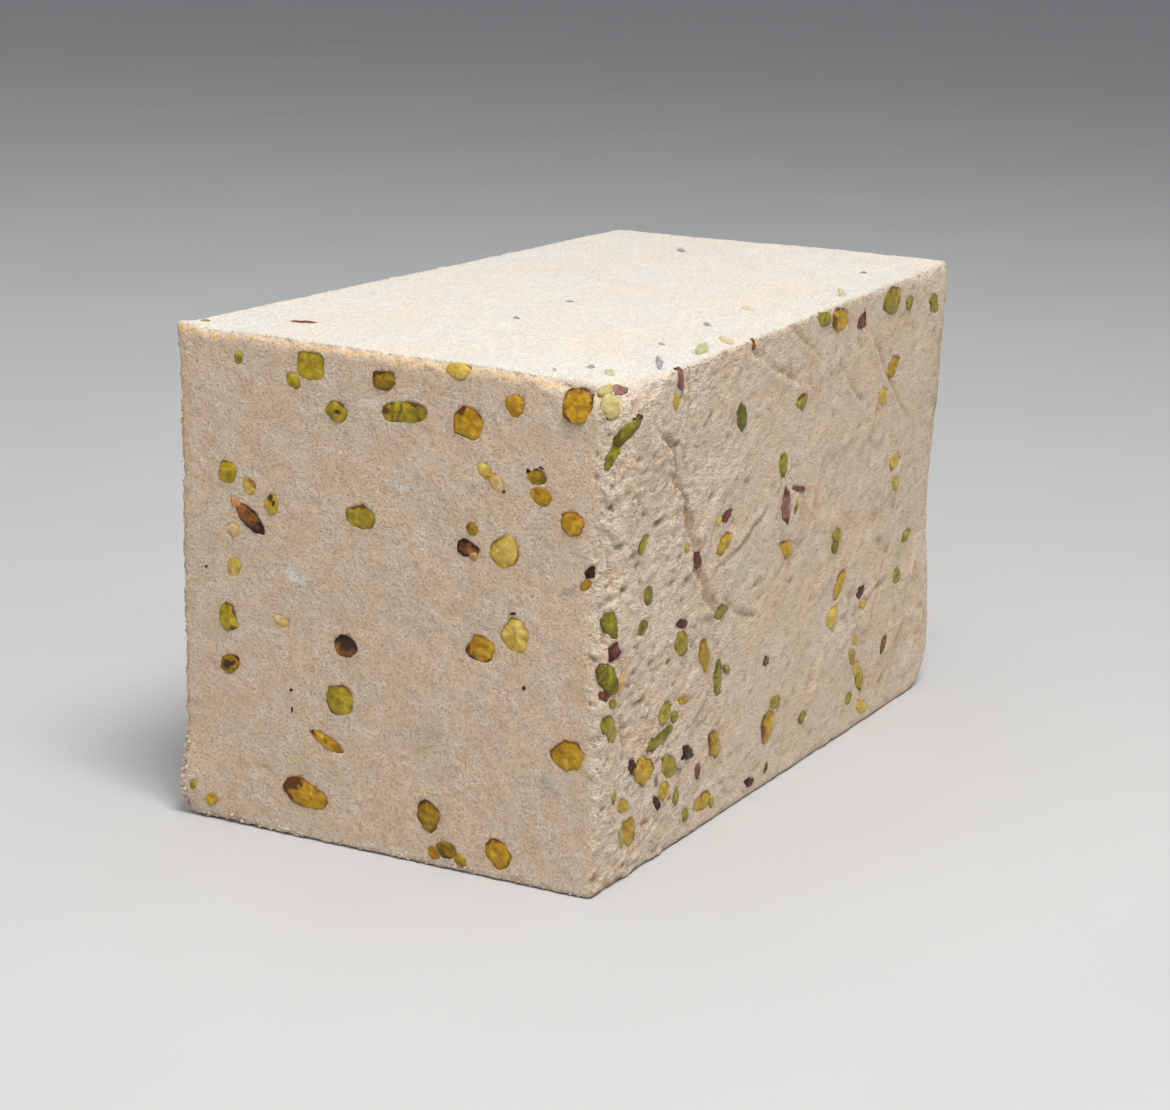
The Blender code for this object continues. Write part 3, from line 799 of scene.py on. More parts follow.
# The bevel worn along the cut face's upper and left edges, and how far back along the block it fades.
BEVEL_BREADTH = 2.2
BEVEL_DEPTH = 0.9
BEVEL_FADE = 3.5
TOUCHING = 0.01
# Distances from a nut: the farthest that is noted, and the one within which points are looked at.
CLEAR_OF_NUTS = 9.0
NEAR_NUTS = 4.0


def noise_at(points, size, seed):
    """Smooth noise from -1 to 1 at each point, with bumps about this size."""
    shift = Vector((17.3 * seed, 5.1 * seed, 9.7 * seed))
    return np.array([noise.noise(Vector(point) / size + shift) for point in points])


def route_distance(across, up, route):
    """Each place's distance from a route, signed: over 0 on its left, going along it."""
    best = np.full(len(across), 1e9)
    side = np.zeros(len(across))
    for (x0, y0), (x1, y1) in zip(route, route[1:]):
        dx, dy = x1 - x0, y1 - y0
        span = dx * dx + dy * dy
        share = np.clip(((across - x0) * dx + (up - y0) * dy) / span, 0, 1)
        gap_x, gap_y = across - x0 - share * dx, up - y0 - share * dy
        gap = np.hypot(gap_x, gap_y)
        nearer = gap < best
        best = np.where(nearer, gap, best)
        side = np.where(nearer, np.sign(dx * gap_y - dy * gap_x), side)
    return best * side


def smooth_step(value):
    """0 up to a value of 0, 1 from a value of 1 on, and smooth between them."""
    value = np.clip(value, 0.0, 1.0)
    return value * value * (3 - 2 * value)


def patches(points, size, seed, usual, swing):
    """Soft patches from 0 to 1, about this size."""
    return smooth_step(usual + swing * noise_at(points, size, seed))


def ridge_at(value, breadth):
    """1 where the value is 0, falling to nearly 0 at two breadths on either side."""
    return np.exp(-((value / breadth) ** 2))


def on_cut(places):
    return places[:, 1] < TOUCHING - LENGTH / 2


def crumb_relief(points, places, weights):
    """Height of the crumb at each point, and how much painted shade its pits get."""
    cut, side, top = weights
    across = places[:, 1] + LENGTH / 2
    points = points * GRAIN_STRETCH
    fine = noise_at(points, 1.1, 1)
    lumps = noise_at(points, 2.3, 2)
    swell = noise_at(points, 6.0, 3)
    slow = noise_at(points, 14.0, 4)
    coarse = 0.05 + 0.14 * patches(points, 9.0, 12, 0.5, 1.3)
    height = cut * (0.11 * fine + coarse * lumps + 0.10 * swell + 0.14 * slow)
    height += top * (0.05 * fine + 0.07 * lumps + 0.10 * swell + 0.18 * slow)
    # The side is crumbly near the cut end and smoother further on.
    crumbly = 1 - 0.62 * smooth_step((across - 20) / 36)
    clods = 0.75 * np.abs(noise_at(points, 2.6, 13)) + 0.40 * np.abs(noise_at(points, 1.5, 14)) - 0.22
    rough = crumbly * clods + 0.12 * swell + 0.26 * slow
    pits = np.clip(noise_at(points, 1.9, 5) - 0.34, 0, 1) * (0.25 + crumbly)
    height += side * (rough - PIT_DEPTH * pits)
    return height, 2.2 * pits * side


def past_cut_end(places):
    """How far each place on the cut face lies past the end of the smooth cut."""
    end = np.interp(places[:, 2], CUT_END_HEIGHTS, CUT_END_PLACES)
    return places[:, 0] + WIDTH / 2 - end + 0.8 * noise_at(places, 2.4, 17)


def broken_strip(places):
    """1 on the broken strip beside the cut face, 0 on the smooth cut and on the other faces."""
    return on_cut(places) * smooth_step(0.5 + past_cut_end(places) / 0.8)


def flakes(places):
    """Height of the flaky plates and scrapes on the shown side, and the painted shade in the gaps between
    plates.
    """
    across = places[:, 1] + LENGTH / 2
    up = places[:, 2]
    along, over = turned(across, up, FLAKE_RISE)
    wander = noise_at(places, 7.0, 6)
    levels = []
    gaps = []
    for u, v, bend in zip(along / FLAKE_LENGTH, over / FLAKE_BREADTH, wander):
        reach, middles = noise.voronoi(Vector((u + 0.5 * bend, v + 0.6 * bend, 0.5)))
        levels.append(noise.noise(middles[0] * 3.7))
        gaps.append(reach[1] - reach[0])
    levels, gaps = np.array(levels), np.array(gaps)
    broken = smooth_step((across - 24) / 24) * patches(places, 21.0, 7, 0.45, 1.5)
    height = broken * FLAKE_STEP * levels * smooth_step(gaps / 0.14)
    gap = broken * ridge_at(gaps, 0.05) * patches(places, 9.0, 15, 0.4, 1.5)
    # The scrapes lie along the plates, on the middle of the side.
    scraped = smooth_step((across - 40) / 16) * smooth_step((125 - across) / 30)
    scraped = scraped * smooth_step((up - 14) / 16)
    scrape_places = np.stack((along / SCRAPE_LENGTH, over / SCRAPE_BREADTH, 0 * up), axis=1)
    height += SCRAPE_HEIGHT * scraped * noise_at(scrape_places, 1.0, 16)
    return height - FLAKE_GAP_DEPTH * gap, gap


def side_features(places):
    """Height of the ledge and cracks on the shown side, and the painted shade in their hollows."""
    across = places[:, 1] + LENGTH / 2
    up = places[:, 2]
    wander = noise_at(places, 4.0, 8)
    patchy = patches(places, 5.0, 19, 0.55, 1.3)
    line = route_distance(across + 3.0 * wander + 1.2 * noise_at(places, 1.6, 18), up, LEDGE)
    near = smooth_step(0.5 - line / 0.7)
    reach = smooth_step((up - LEDGE_FOOT) / 3) * smooth_step((LEDGE_HEAD - up) / 3)
    height = reach * LEDGE_RISE * near * np.exp(-np.clip(-line, 0, None) / LEDGE_FADE)
    height -= reach * (1 - near) * LEDGE_DROP * np.exp(-np.clip(line, 0, None) / LEDGE_FADE)
    shade = 0.65 + 0.35 * patchy
    # Painted shade in the recess past the ledge's proud lip, reaching a little past where the lip hides it.
    dark = HOLLOW_SHADE_SHARE * reach * (1 - near) * shade * smooth_step((3.9 - line) / 1.2)
    for route in CRACKS:
        line = route_distance(across, up + 0.7 * wander, route)
        crack = ridge_at(line, CRACK_BREADTH)
        height -= CRACK_DEPTH * crack
        height += CRACK_RIM * ridge_at(line + 1.5, 1.0)
        # Painted shade down each crack.
        dark = np.maximum(dark, HOLLOW_SHADE_SHARE * patchy * crack)
    return height, dark


def worn_bevel(points, places):
    """How far the cut face's upper and left edges are worn back, along the block."""
    from_front = np.clip((places[:, 1] + LENGTH / 2) / BEVEL_FADE, 0, 1)
    ragged = 0.9 * noise_at(points, 2.6, 21) + 0.5 * noise_at(points, 1.3, 22)
    drop = np.clip((BEVEL_BREADTH + ragged - HEIGHT + places[:, 2]) / BEVEL_BREADTH, 0, 1)
    left = np.clip((BEVEL_BREADTH + ragged - places[:, 0] - WIDTH / 2) / BEVEL_BREADTH, 0, 1)
    return BEVEL_DEPTH * (1 - from_front) ** 2 * np.maximum(drop, 0.6 * left) ** 1.4


def press_pockets(points, nuts):
    """Lowers points under nuts. Gives how far past the nearest nut each point is, and that nut's number."""
    beyond_all = np.full(len(points), CLEAR_OF_NUTS)
    nearest = np.full(len(points), -1)
    for number, nut in enumerate(nuts):
        if not nut.pocketed:
            continue
        local = nut.local(points)
        reach = nut.half_length + NEAR_NUTS
        near = (np.abs(local) < (reach, reach, NEAR_NUTS)).all(axis=1).nonzero()[0]
        if not len(near):
            continue
        local = local[near]
        share, beyond = nut.nearness(local[:, 0], local[:, 1])
        outside = np.maximum(beyond, 0)
        closer = outside < beyond_all[near]
        beyond_all[near] = np.where(closer, outside, beyond_all[near])
        nearest[near] = np.where(closer, number, nearest[near])
        floor = -(nut.depth * (1 - 0.7 * share**4) + 0.4)
        under = beyond < POCKET_LIP
        local[under, 2] = np.minimum(local[under, 2], floor[under])
        points[near] = nut.world(local)
    return beyond_all, nearest


# ---------------------------------------------------------------- halva: stains, smears and painted crevice shade
PAINTS = {
    "white": (0.84, 0.79, 0.72),
    "cream": (0.80, 0.70, 0.56),
    "tan": (0.76, 0.54, 0.33),
    "fawn": (0.84, 0.57, 0.31),
    # Painted shade for crevices between nuts.
    "crevice_shade": (0.16, 0.09, 0.05),
    "rust": (0.64, 0.40, 0.19),
    "straw": (0.76, 0.60, 0.26),
    "green": (0.36, 0.38, 0.15),
    "slate": (0.33, 0.32, 0.34),
    "rose": (0.52, 0.34, 0.27),
}
# Places on the faces, as (across, up, length, breadth, turn, paint, share).
STAINS = {
    "cut": (
        (58.5, 25.5, 2.7, 2.3, 20, "green", 0.55),
        (28, 17.8, 2.7, 2.1, 0, "straw", 0.45),
        (60, 16, 2.5, 2.1, 0, "straw", 0.4),
        (92.8, 99, 2.5, 1.3, 80, "green", 0.6),
        (91.4, 97.6, 1.5, 1.1, 20, "green", 0.35),
        (21.4, 75, 1.9, 1.5, 60, "rose", 0.35),
        (60.5, 80.4, 2.1, 1.5, 100, "rust", 0.45),
        (27.5, 58.5, 6, 2.6, -10, "white", 0.9),
        (52, 81.5, 3, 1.8, 20, "white", 0.7),
        (46, 98, 9, 3, 5, "white", 0.5),
        (88.9, 65, 5.4, 1.6, 40, "slate", 0.55),
        (88.5, 22.5, 6, 1.8, -30, "slate", 0.55),
        (86, 24, 3, 1.4, 40, "slate", 0.35),
        (5, 76, 7, 1.2, -3, "rust", 0.4),
        (95, 104.5, 5, 6, 0, "tan", 0.5),
        (91.5, 109, 7, 3, 0, "rust", 0.5),
        (72, 80.5, 9, 4, 30, "straw", 0.25),
        (58, 28, 14, 5, 10, "slate", 0.12),
        (20, 92, 16, 6, -20, "slate", 0.10),
    ),
    "shown": (
        (88.6, 46, 9.5, 3.8, -6, "straw", 0.35),
        (88.6, 42.6, 5.7, 2.5, 0, "green", 0.35),
        (105.5, 28.8, 10.5, 2.9, -20, "tan", 0.45),
        (130.4, 74, 7.4, 4.6, 0, "straw", 0.4),
        (117, 85.8, 8.4, 3.2, -8, "cream", 0.6),
        (101.5, 86.2, 4.6, 2.3, -20, "straw", 0.6),
        (88, 60.6, 4.2, 2.1, -60, "rose", 0.5),
        (129, 66, 4.6, 2.1, -40, "tan", 0.5),
        (125.6, 89, 5.2, 1.7, -30, "tan", 0.35),
        (3.6, 4.6, 4.6, 2.3, 0, "straw", 0.35),
        (168, 38.4, 5.7, 3.2, 30, "green", 0.6),
        (163, 53.4, 5.2, 4.4, 70, "green", 0.6),
        (110, 40.3, 4.2, 1.3, 0, "rose", 0.5),
        (184, 88, 9.5, 6.3, 80, "tan", 0.55),
        (98.6, 7, 8.4, 3.6, 20, "straw", 0.6),
        (28.4, 101.4, 3.8, 2.7, 60, "straw", 0.5),
        (111.4, 20.2, 6.5, 2.3, 6, "rose", 0.5),
        (123.5, 97, 3.6, 1.7, 0, "rose", 0.5),
        (158.6, 42, 4.4, 2.1, -10, "rose", 0.6),
        (12, 106, 12, 2.4, -4, "tan", 0.45),
        (84, 107.5, 10, 2, 0, "tan", 0.4),
        (120, 108, 30, 2.6, 0, "tan", 0.45),
        (190.5, 90, 22, 5, 90, "rust", 0.55),
        (191, 70, 12, 4, 90, "green", 0.5),
        (190, 48, 12, 3, 90, "straw", 0.3),
        (3, 66, 5, 3, 60, "straw", 0.4),
        (4.6, 88, 5, 3.4, 0, "straw", 0.35),
        (6, 30, 5, 3, 20, "tan", 0.4),
        (62, 78, 12, 6, 20, "rose", 0.12),
        (105, 60, 20, 8, -20, "tan", 0.20),
        (30, 84, 8, 4, 70, "tan", 0.22),
        (80, 30, 22, 10, 15, "cream", 0.35),
        (120, 30, 30, 12, -8, "cream", 0.3),
        (160, 24, 24, 8, 12, "tan", 0.16),
        (140, 60, 24, 9, -14, "cream", 0.3),
        (66, 56, 22, 7, 28, "cream", 0.35),
        (148, 94, 10, 5, -20, "rose", 0.12),
        (12, 16, 10, 16, 0, "cream", 0.35),
        (66, 10, 26, 7, 0, "cream", 0.4),
        # Painted shade in the crevices between the nuts here.
        (27.6, 19, 3.4, 1.8, -70, "crevice_shade", 0.8),
        (14.6, 20.6, 3, 2, 30, "crevice_shade", 0.6),
        (30, 26, 4, 1.2, 20, "crevice_shade", 0.6),
        (38.6, 18.6, 4, 2, -70, "crevice_shade", 0.8),
        (1.6, 51.2, 2.6, 1.4, 30, "crevice_shade", 0.7),
        (4.4, 42.8, 2.6, 1.6, 0, "rust", 0.7),
        (9, 44.4, 2.6, 1.4, 20, "rust", 0.6),
    ),
    "top": (
        (33.7, 165.9, 7, 2, -60, "slate", 0.5),
        (30, 60, 34, 3, 4, "straw", 0.10),
        (60, 36, 30, 2, 0, "straw", 0.10),
        (50, 110, 40, 3, -4, "tan", 0.08),
    ),
}
# The stain round each kind of nut: its paint and share.
HALO = {
    "green_nut": ("green", 0.30),
    "olive_nut": ("rust", 0.40),
    "golden_nut": ("rust", 0.58),
    "brown_nut": ("rust", 0.55),
    "pale_nut": ("straw", 0.30),
    "yellow_nut": ("straw", 0.30),
    "peach_nut": ("tan", 0.40),
    "burgundy_skin": ("rose", 0.35),
    "dark_skin": ("rose", 0.30),
}
HALO_REACH = 0.75
BOX_MARGIN = 0.02


class Coat:
    """Paint on the halva's points: a colour for each, and how much of it shows."""

    def __init__(self, count):
        self.colour = np.zeros((count, 3))
        self.share = np.zeros(count)

    def add(self, paint, share):
        """Lays a paint over what is there. share is a value for each point."""
        share = np.clip(share, 0, 1)
        self.colour = self.colour * (1 - share)[:, None] + np.array(PAINTS[paint]) * share[:, None]
        self.share = 1 - (1 - self.share) * (1 - share)

    def plain_colour(self):
        return self.colour / np.maximum(self.share, 0.001)[:, None]


def paint_stains(coat, places, blotch, speck):
    """Stains and smears with ragged borders, each on its own face, and painted shade in crevices."""
    for face, rows in STAINS.items():
        corner, right, upward = FACES[face][:3]
        offset = places - np.array(corner)
        on_face = np.abs(offset @ np.cross(right, upward)) < TOUCHING
        across, up = offset @ np.array(right), offset @ np.array(upward)
        for middle, level, length, breadth, turn, paint, share in rows:
            x, y = turned(across - middle, up - level, math.radians(turn))
            reach = np.hypot(2 * x / length, 2 * y / breadth)
            coat.add(paint, share * on_face * smooth_step((1.25 - reach + 0.9 * blotch + 0.5 * speck) / 0.6))


def paint_edges(coat, points, places, top, edge, blotch, speck):
    """Bands along the cut face's borders, and pale upper edges."""
    # A fawn and tan band under the cut face's upper edge, and along its left edge.
    drop = HEIGHT - places[:, 2]
    from_left = places[:, 0] + WIDTH / 2
    front = on_cut(places)
    ragged = 1.3 * blotch + 0.8 * speck
    patchy = 0.55 + 0.45 * patches(points, 5.0, 23, 0.5, 1.6)
    reach = smooth_step((92 - from_left) / 8)
    coat.add("fawn", front * reach * smooth_step((2.2 + ragged - drop) / 0.8) * smooth_step(drop / 0.4))
    coat.add("tan", 0.5 * front * reach * patchy * ridge_at(drop - 3.0 - ragged, 0.7))
    coat.add("fawn", 0.8 * front * patchy * smooth_step((2.6 + ragged - from_left) / 1.6))
    # The smooth cut ends in a tan and straw line before the broken strip; the upper edges are cream.
    past = past_cut_end(places)
    upright = edge * smooth_step(1.5 * (1 - top))
    coat.add("tan", 0.55 * front * patchy * ridge_at(past + 0.9, 1.3) * smooth_step(0.5 + 2 * blotch))
    coat.add("straw", 0.5 * front * ridge_at(past - 0.3, 0.8) * smooth_step(0.3 + 2 * speck))
    coat.add("cream", 0.45 * front * smooth_step(past / 0.8) * smooth_step(0.6 + 1.5 * blotch))
    coat.add("cream", 0.55 * edge * (1 - upright) * np.clip(0.75 + blotch, 0, 1))
    # The cut face's foot is pale and crumbly.
    coat.add("cream", 0.55 * front * smooth_step((3.4 + 1.6 * ragged - places[:, 2]) / 1.6))


def paint_halos(coat, nuts, beyond, nearest, blotch):
    """The halva is stained close round most nuts."""
    for number, nut in enumerate(nuts):
        if nut.kind in HALO:
            paint, share = HALO[nut.kind]
            near = np.where(nearest == number, np.exp(-beyond / HALO_REACH), 0)
            coat.add(paint, share * near * smooth_step(0.7 + 1.2 * blotch))


def set_mask(mesh, name, values):
    mesh.attributes.new(name, "FLOAT", "POINT").data.foreach_set("value", values.astype(np.float32))


def set_paint(mesh, coat):
    set_mask(mesh, "painted", coat.share)
    colours = np.ones((len(coat.share), 4), np.float32)
    colours[:, :3] = coat.plain_colour()
    mesh.attributes.new("paint", "FLOAT_COLOR", "POINT").data.foreach_set("color", colours.ravel())


def in_cad_box(points):
    """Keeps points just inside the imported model's box, whose floor is the ground."""
    low = np.array(cad_box[0]) / MM + BOX_MARGIN
    high = np.array(cad_box[1]) / MM - BOX_MARGIN
    low[2] = 0.0
    return np.clip(points, low, high)


def edge_lumps(points, places, edge):
    """Height of lumps along the worn edges, largest at the worn near corner."""
    worn = np.array([edge_radius(Vector(place)) for place in places])
    chunky = 1 + 0.9 * smooth_step((worn - EDGE_RADIUS) / 4.0)
    lumps = 0.95 * np.abs(noise_at(points, 3.2, 9)) + 0.55 * np.abs(noise_at(points, 1.5, 10)) - 0.30
    return edge * lumps * chunky


def halva_relief(points, places, normals, weights, edge):
    """Height of the halva over the block's plain form, and the painted shade in its hollows, cracks, pits
    and plate gaps.
    """
    height, pits = crumb_relief(points, places, weights)
    on_side = smooth_step((normals[:, 0] - 0.6) / 0.3)
    rise, hollow_shade = side_features(places)
    plates, gaps = flakes(places)
    height += (rise + plates) * on_side
    height += edge_lumps(points, places, edge)
    return height, np.clip((hollow_shade + 0.45 * gaps) * on_side + pits, 0, 1)


def halva_paint(points, places, top, edge, nuts, beyond, nearest):
    coat = Coat(len(points))
    blotch = noise_at(points, 2.6, 21)
    speck = noise_at(points, 1.3, 22)
    paint_stains(coat, places, blotch, speck)
    paint_edges(coat, points, places, top, edge, blotch, speck)
    paint_halos(coat, nuts, beyond, nearest, blotch)
    return coat


def halva_mesh(nuts):
    places, triangles = skin_mesh(nuts)
    points = np.array([tuple(block_point(place)) for place in places])
    places = np.array([tuple(place) for place in places])
    points[:, 1] += worn_bevel(points, places)
    normals = vertex_normals(points, triangles)
    squares = normals**2
    top = np.where(normals[:, 2] > 0, squares[:, 2], 0.0)
    edge = smooth_step((1 - squares.max(axis=1)) / 0.45)
    broken = broken_strip(places)
    cut = squares[:, 1] * (1 - broken)
    side = np.maximum(squares[:, 0], broken * (1 - top))
    height, dark = halva_relief(points, places, normals, (cut, side, top), edge)
    beyond, nearest = press_pockets(points.copy(), nuts)
    # It is calmer beside the nuts, and the base itself is flat.
    height *= 0.35 + 0.65 * smooth_step((beyond - 0.3) / 1.6)
    height *= np.where(normals[:, 2] < -0.7, 0.0, 1.0)
    coat = halva_paint(points, places, top, edge, nuts, beyond, nearest)
    points += normals * height[:, None]
    press_pockets(points, nuts)
    points = in_cad_box(points)
    mesh = bpy.data.meshes.new("halva")
    mesh.from_pydata((points * MM).tolist(), [], triangles.tolist())
    set_mask(mesh, "cream", top)
    set_mask(mesh, "flank", side)
    # Painted shade in the hollows, cracks, pits and plate gaps, carried as a mask.
    set_mask(mesh, "hollow_shade", dark)
    set_mask(mesh, "crisp", 1 - np.maximum(0.15 * top, side * smooth_step((places[:, 1] + 75) / 70) * 0.6))
    set_paint(mesh, coat)
    mesh.shade_smooth()
    mesh.update()
    return mesh


# ---------------------------------------------------------------- loose crumbs of halva on the block's edges
CRUMB_SEED = 41
# Each is (face, across, up, across, up, how many, how far they stray, largest size), from place to place.
CRUMB_LINES = (
    ("cut", 2, 0.5, 97, 0.5, 170, 0.8, 0.75),
    ("cut", 0.5, 0.6, 30, 0.6, 40, 1.0, 1.1),
    ("cut", 0.3, 2.0, 0.3, 107.0, 120, 0.45, 0.50),
    ("cut", 0.4, 2.0, 0.6, 17.0, 46, 1.1, 1.20),
    ("top", 2.0, 1.6, 90.0, 1.6, 50, 0.35, 0.45),
    ("shown", 0.5, 2.0, 0.5, 100.0, 130, 0.7, 0.65),
    ("shown", 4.0, 108.4, 190.0, 108.4, 130, 0.6, 0.60),
    ("shown", 192.6, 16.0, 192.6, 104.0, 80, 0.5, 0.60),
    ("hidden", 2.0, 108.4, 190.0, 108.4, 110, 0.6, 0.50),
    ("far", 2.0, 108.4, 97.0, 108.4, 50, 0.6, 0.50),
)


def crumb_arrays():
    """(points, triangles) of every loose crumb, in mm."""
    chance = random.Random(CRUMB_SEED)
    ball = bmesh.new()
    bmesh.ops.create_icosphere(ball, subdivisions=2, radius=0.5)
    round_points = np.array([tuple(vert.co) for vert in ball.verts])
    round_faces = np.array([[vert.index for vert in face.verts] for face in ball.faces])
    ball.free()
    points = []
    faces = []
    for face, across, up, end_across, end_up, count, stray, largest in CRUMB_LINES:
        for _ in range(count):
            share = chance.random()
            here = across + (end_across - across) * share + chance.gauss(0, stray)
            level = up + (end_up - up) * share + chance.gauss(0, stray)
            width, height = FACES[face][3:]
            here, level = min(max(here, 0.0), width), min(max(level, 0.0), height)
            size = largest * (0.4 + 0.6 * chance.random() ** 2)
            middle = np.array(block_point(face_point(face, here, level)))
            swell = 1 + 0.55 * noise_at(round_points + 7.0 * len(points), 0.45, 31)
            shape = round_points * swell[:, None] * size * (1, 1, chance.uniform(0.6, 1.0))
            turn = Matrix.Rotation(chance.uniform(0, math.tau), 3, "Z")
            faces.append(round_faces + len(points) * len(round_points))
            points.append(shape @ np.array(turn) + middle)
    return np.concatenate(points), np.concatenate(faces)


def add_crumbs(material):
    points, faces = crumb_arrays()
    mesh = bpy.data.meshes.new("crumbs")
    mesh.from_pydata((in_cad_box(points) * MM).tolist(), [], faces.tolist())
    coat = Coat(len(points))
    coat.add("cream", np.full(len(points), 0.6))
    set_mask(mesh, "cream", smooth_step((points[:, 2] - HEIGHT + 3) / 2))
    set_mask(mesh, "flank", np.full(len(points), 0.5))
    set_mask(mesh, "hollow_shade", np.zeros(len(points)))
    set_mask(mesh, "crisp", np.ones(len(points)))
    set_paint(mesh, coat)
    mesh.shade_smooth()
    crumbs = add_object("halva_crumbs", mesh)
    crumbs.data.materials.append(material)
    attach(crumbs, "root")


# ---------------------------------------------------------------- nuts: meshes
NUT_RINGS = (1.0, 0.97, 0.90, 0.80, 0.69, 0.57, 0.44, 0.30, 0.15)
CHIP_RINGS = (1.0, 0.94, 0.78, 0.55, 0.28)
# Rings of the part that stays in the pocket, as (share of the outline, share of the depth), and its masks.
BACK_RINGS = ((0.98, -0.26), (0.8, -0.62), (0.45, -0.92))
BACK_MASKS = (0.3, 0.8, 0.0, 0.5)
RIM_DROP = 0.10
FEWEST_AROUND = 14
MOST_AROUND = 48
POINTS_PER_MM = 7
# How far fronts lie under the surface, in mm, and how much they rise for each mm across them.
NUT_SINKS = (-0.04, 0.16)
CHIP_SINKS = (-0.10, 0.04)
FLECK_SINK = 0.02
LARGEST_TILT = 0.06


def front_relief(nut, x, y, share):
    """Height of a point of the nut's front over its rim."""
    dome = 0.42 if nut.node else 0.26
    height = dome * (1 - share**3) + 0.20 * nut_noise(nut, x, y, 1.5) + 0.11 * nut_noise(nut, x, y, 0.7)
    return height - 0.34 * crack_depth(nut, x, y)


def nut_noise(nut, x, y, size):
    return noise.noise(Vector((x / size + nut.phase, y / size, nut.phase)))


def crack_depth(nut, x, y):
    """1 in the middle of a split across the nut, 0 clear of any."""
    spot = Matrix.Rotation(nut.turn, 2) @ Vector((x, y))
    depth = 0.0
    for direction, offset in nut.look.get("cracks", ()):
        along = turned(spot.x, spot.y, math.radians(direction))[0]
        gap = along - offset + 0.5 * nut_noise(nut, x, y, 1.6)
        depth = max(depth, math.exp(-((gap / 0.32) ** 2)))
    return depth


def band(outer, inner, around):
    """The faces between two rings of points, given the number of each ring's first point."""
    pairs = [(i, (i + 1) % around) for i in range(around)]
    return [(outer + i, outer + j, inner + j, inner + i) for i, j in pairs]


def nut_arrays(nut):
    """(points, triangles and quads, masks) of one nut, cut face up, in world mm."""
    around = (nut.half_length + nut.half_breadth) * POINTS_PER_MM
    around = int(min(MOST_AROUND, max(FEWEST_AROUND, around)))
    rings = NUT_RINGS if nut.node else CHIP_RINGS
    chance = nut.chance
    recess = chance.uniform(*(NUT_SINKS if nut.node else CHIP_SINKS))
    tilt = [chance.uniform(-LARGEST_TILT, LARGEST_TILT) for _ in range(2)]
    lift = NUT_RECESS - (recess if nut.pocketed else FLECK_SINK)
    x, y = nut.outline(np.arange(around) * math.tau / around)
    points = []
    masks = []
    faces = []
    for ring, share in enumerate(rings):
        for px, py in zip(x * share, y * share):
            level = lift + front_relief(nut, px, py, share) + tilt[0] * px + tilt[1] * py
            points.append((px, py, level - (RIM_DROP if ring == 0 else 0.0)))
            masks.append(front_masks(nut, px, py, share))
        if ring:
            faces += band((ring - 1) * around, ring * around, around)
    last = len(points) - around
    faces += [(last + i, last + (i + 1) % around, len(points)) for i in range(around)]
    points.append((0.0, 0.0, lift + front_relief(nut, 0.0, 0.0, 0.0)))
    masks.append(front_masks(nut, 0.0, 0.0, 0.0))
    previous = 0
    for share, level in BACK_RINGS:
        start = len(points)
        points += [(px * share, py * share, level * nut.depth) for px, py in zip(x, y)]
        faces += band(start, previous, around)
        previous = start
    faces += [(previous + (i + 1) % around, previous + i, len(points)) for i in range(around)]
    points.append((0.0, 0.0, -nut.depth))
    masks += [BACK_MASKS] * (len(points) - len(masks))
    return nut.world(np.array(points)), faces, np.array(masks)


def clamp(value):
    return min(1.0, max(0.0, value))


def front_masks(nut, x, y, share):
    """(tone, skin, dark, deep) of a point of the front, each from 0 to 1. Skin is partly painted shadow."""
    lean, rise = x / nut.half_length, y / nut.half_breadth
    spot = Matrix.Rotation(nut.turn, 2) @ Vector((lean, rise))
    heading = math.degrees(math.atan2(spot.y, spot.x))
    wander = nut_noise(nut, x, y, 1.3)
    drift = nut_noise(nut, x + 9, y, 2.4)
    if "tone" in nut.look:
        tone = 0.5 + 0.55 * turned(spot.x, spot.y, math.radians(nut.look["tone"]))[0]
    else:
        tone = 0.5 + 0.6 * lean * (1 if nut.phase > PHASES / 2 else -1)
    tone += 0.6 * wander + 0.7 * drift
    skin = 0.0
    default = ((nut.phase * 131 % 360, 50, 0.10),) if nut.node else ()
    for direction, spread, depth in nut.look.get("skin", default):
        off = ((heading - direction + 180) % 360 - 180) / spread
        arc = max(0.0, 1 - off * off)
        inner = 1 - 1.3 * depth * arc * (1.0 + 1.2 * wander)
        skin = max(skin, clamp((share - inner) / 0.10 + 0.5) * min(1.0, 2.5 * arc))
    # A node's rim takes the skin colour in patches, partly real skin and partly painted shadow of the pocket
    # wall, which falls most towards the upper left.
    if nut.node and share > 0.85:
        pocket_shadow_side = 0.5 + 0.5 * math.cos(math.radians(heading - 125))
        skin = max(skin, clamp(2.2 * drift + 0.9 * pocket_shadow_side - 0.15) * 0.9 * (share - 0.85) / 0.15)
    # Splits and holes in the nut are darkened as painted shade.
    dark = 0.75 * crack_depth(nut, x, y)
    for across, up, radius in nut.look.get("dark", ()):
        gap = math.hypot(spot.x - across, spot.y - up) / (radius * (1 + 0.5 * wander))
        dark = max(dark, clamp((1.4 - gap) / 0.5))
    usual = nut.phase / PHASES * (0.3 if nut.face == "cut" else 0.7)
    rim = max(0.0, (share - 0.68) / 0.32)
    deep = nut.look.get("deep", usual) + 0.5 * rim**2 + 1.1 * drift - 0.6 * wander
    return (clamp(tone), clamp(skin), clamp(dark), clamp(deep))


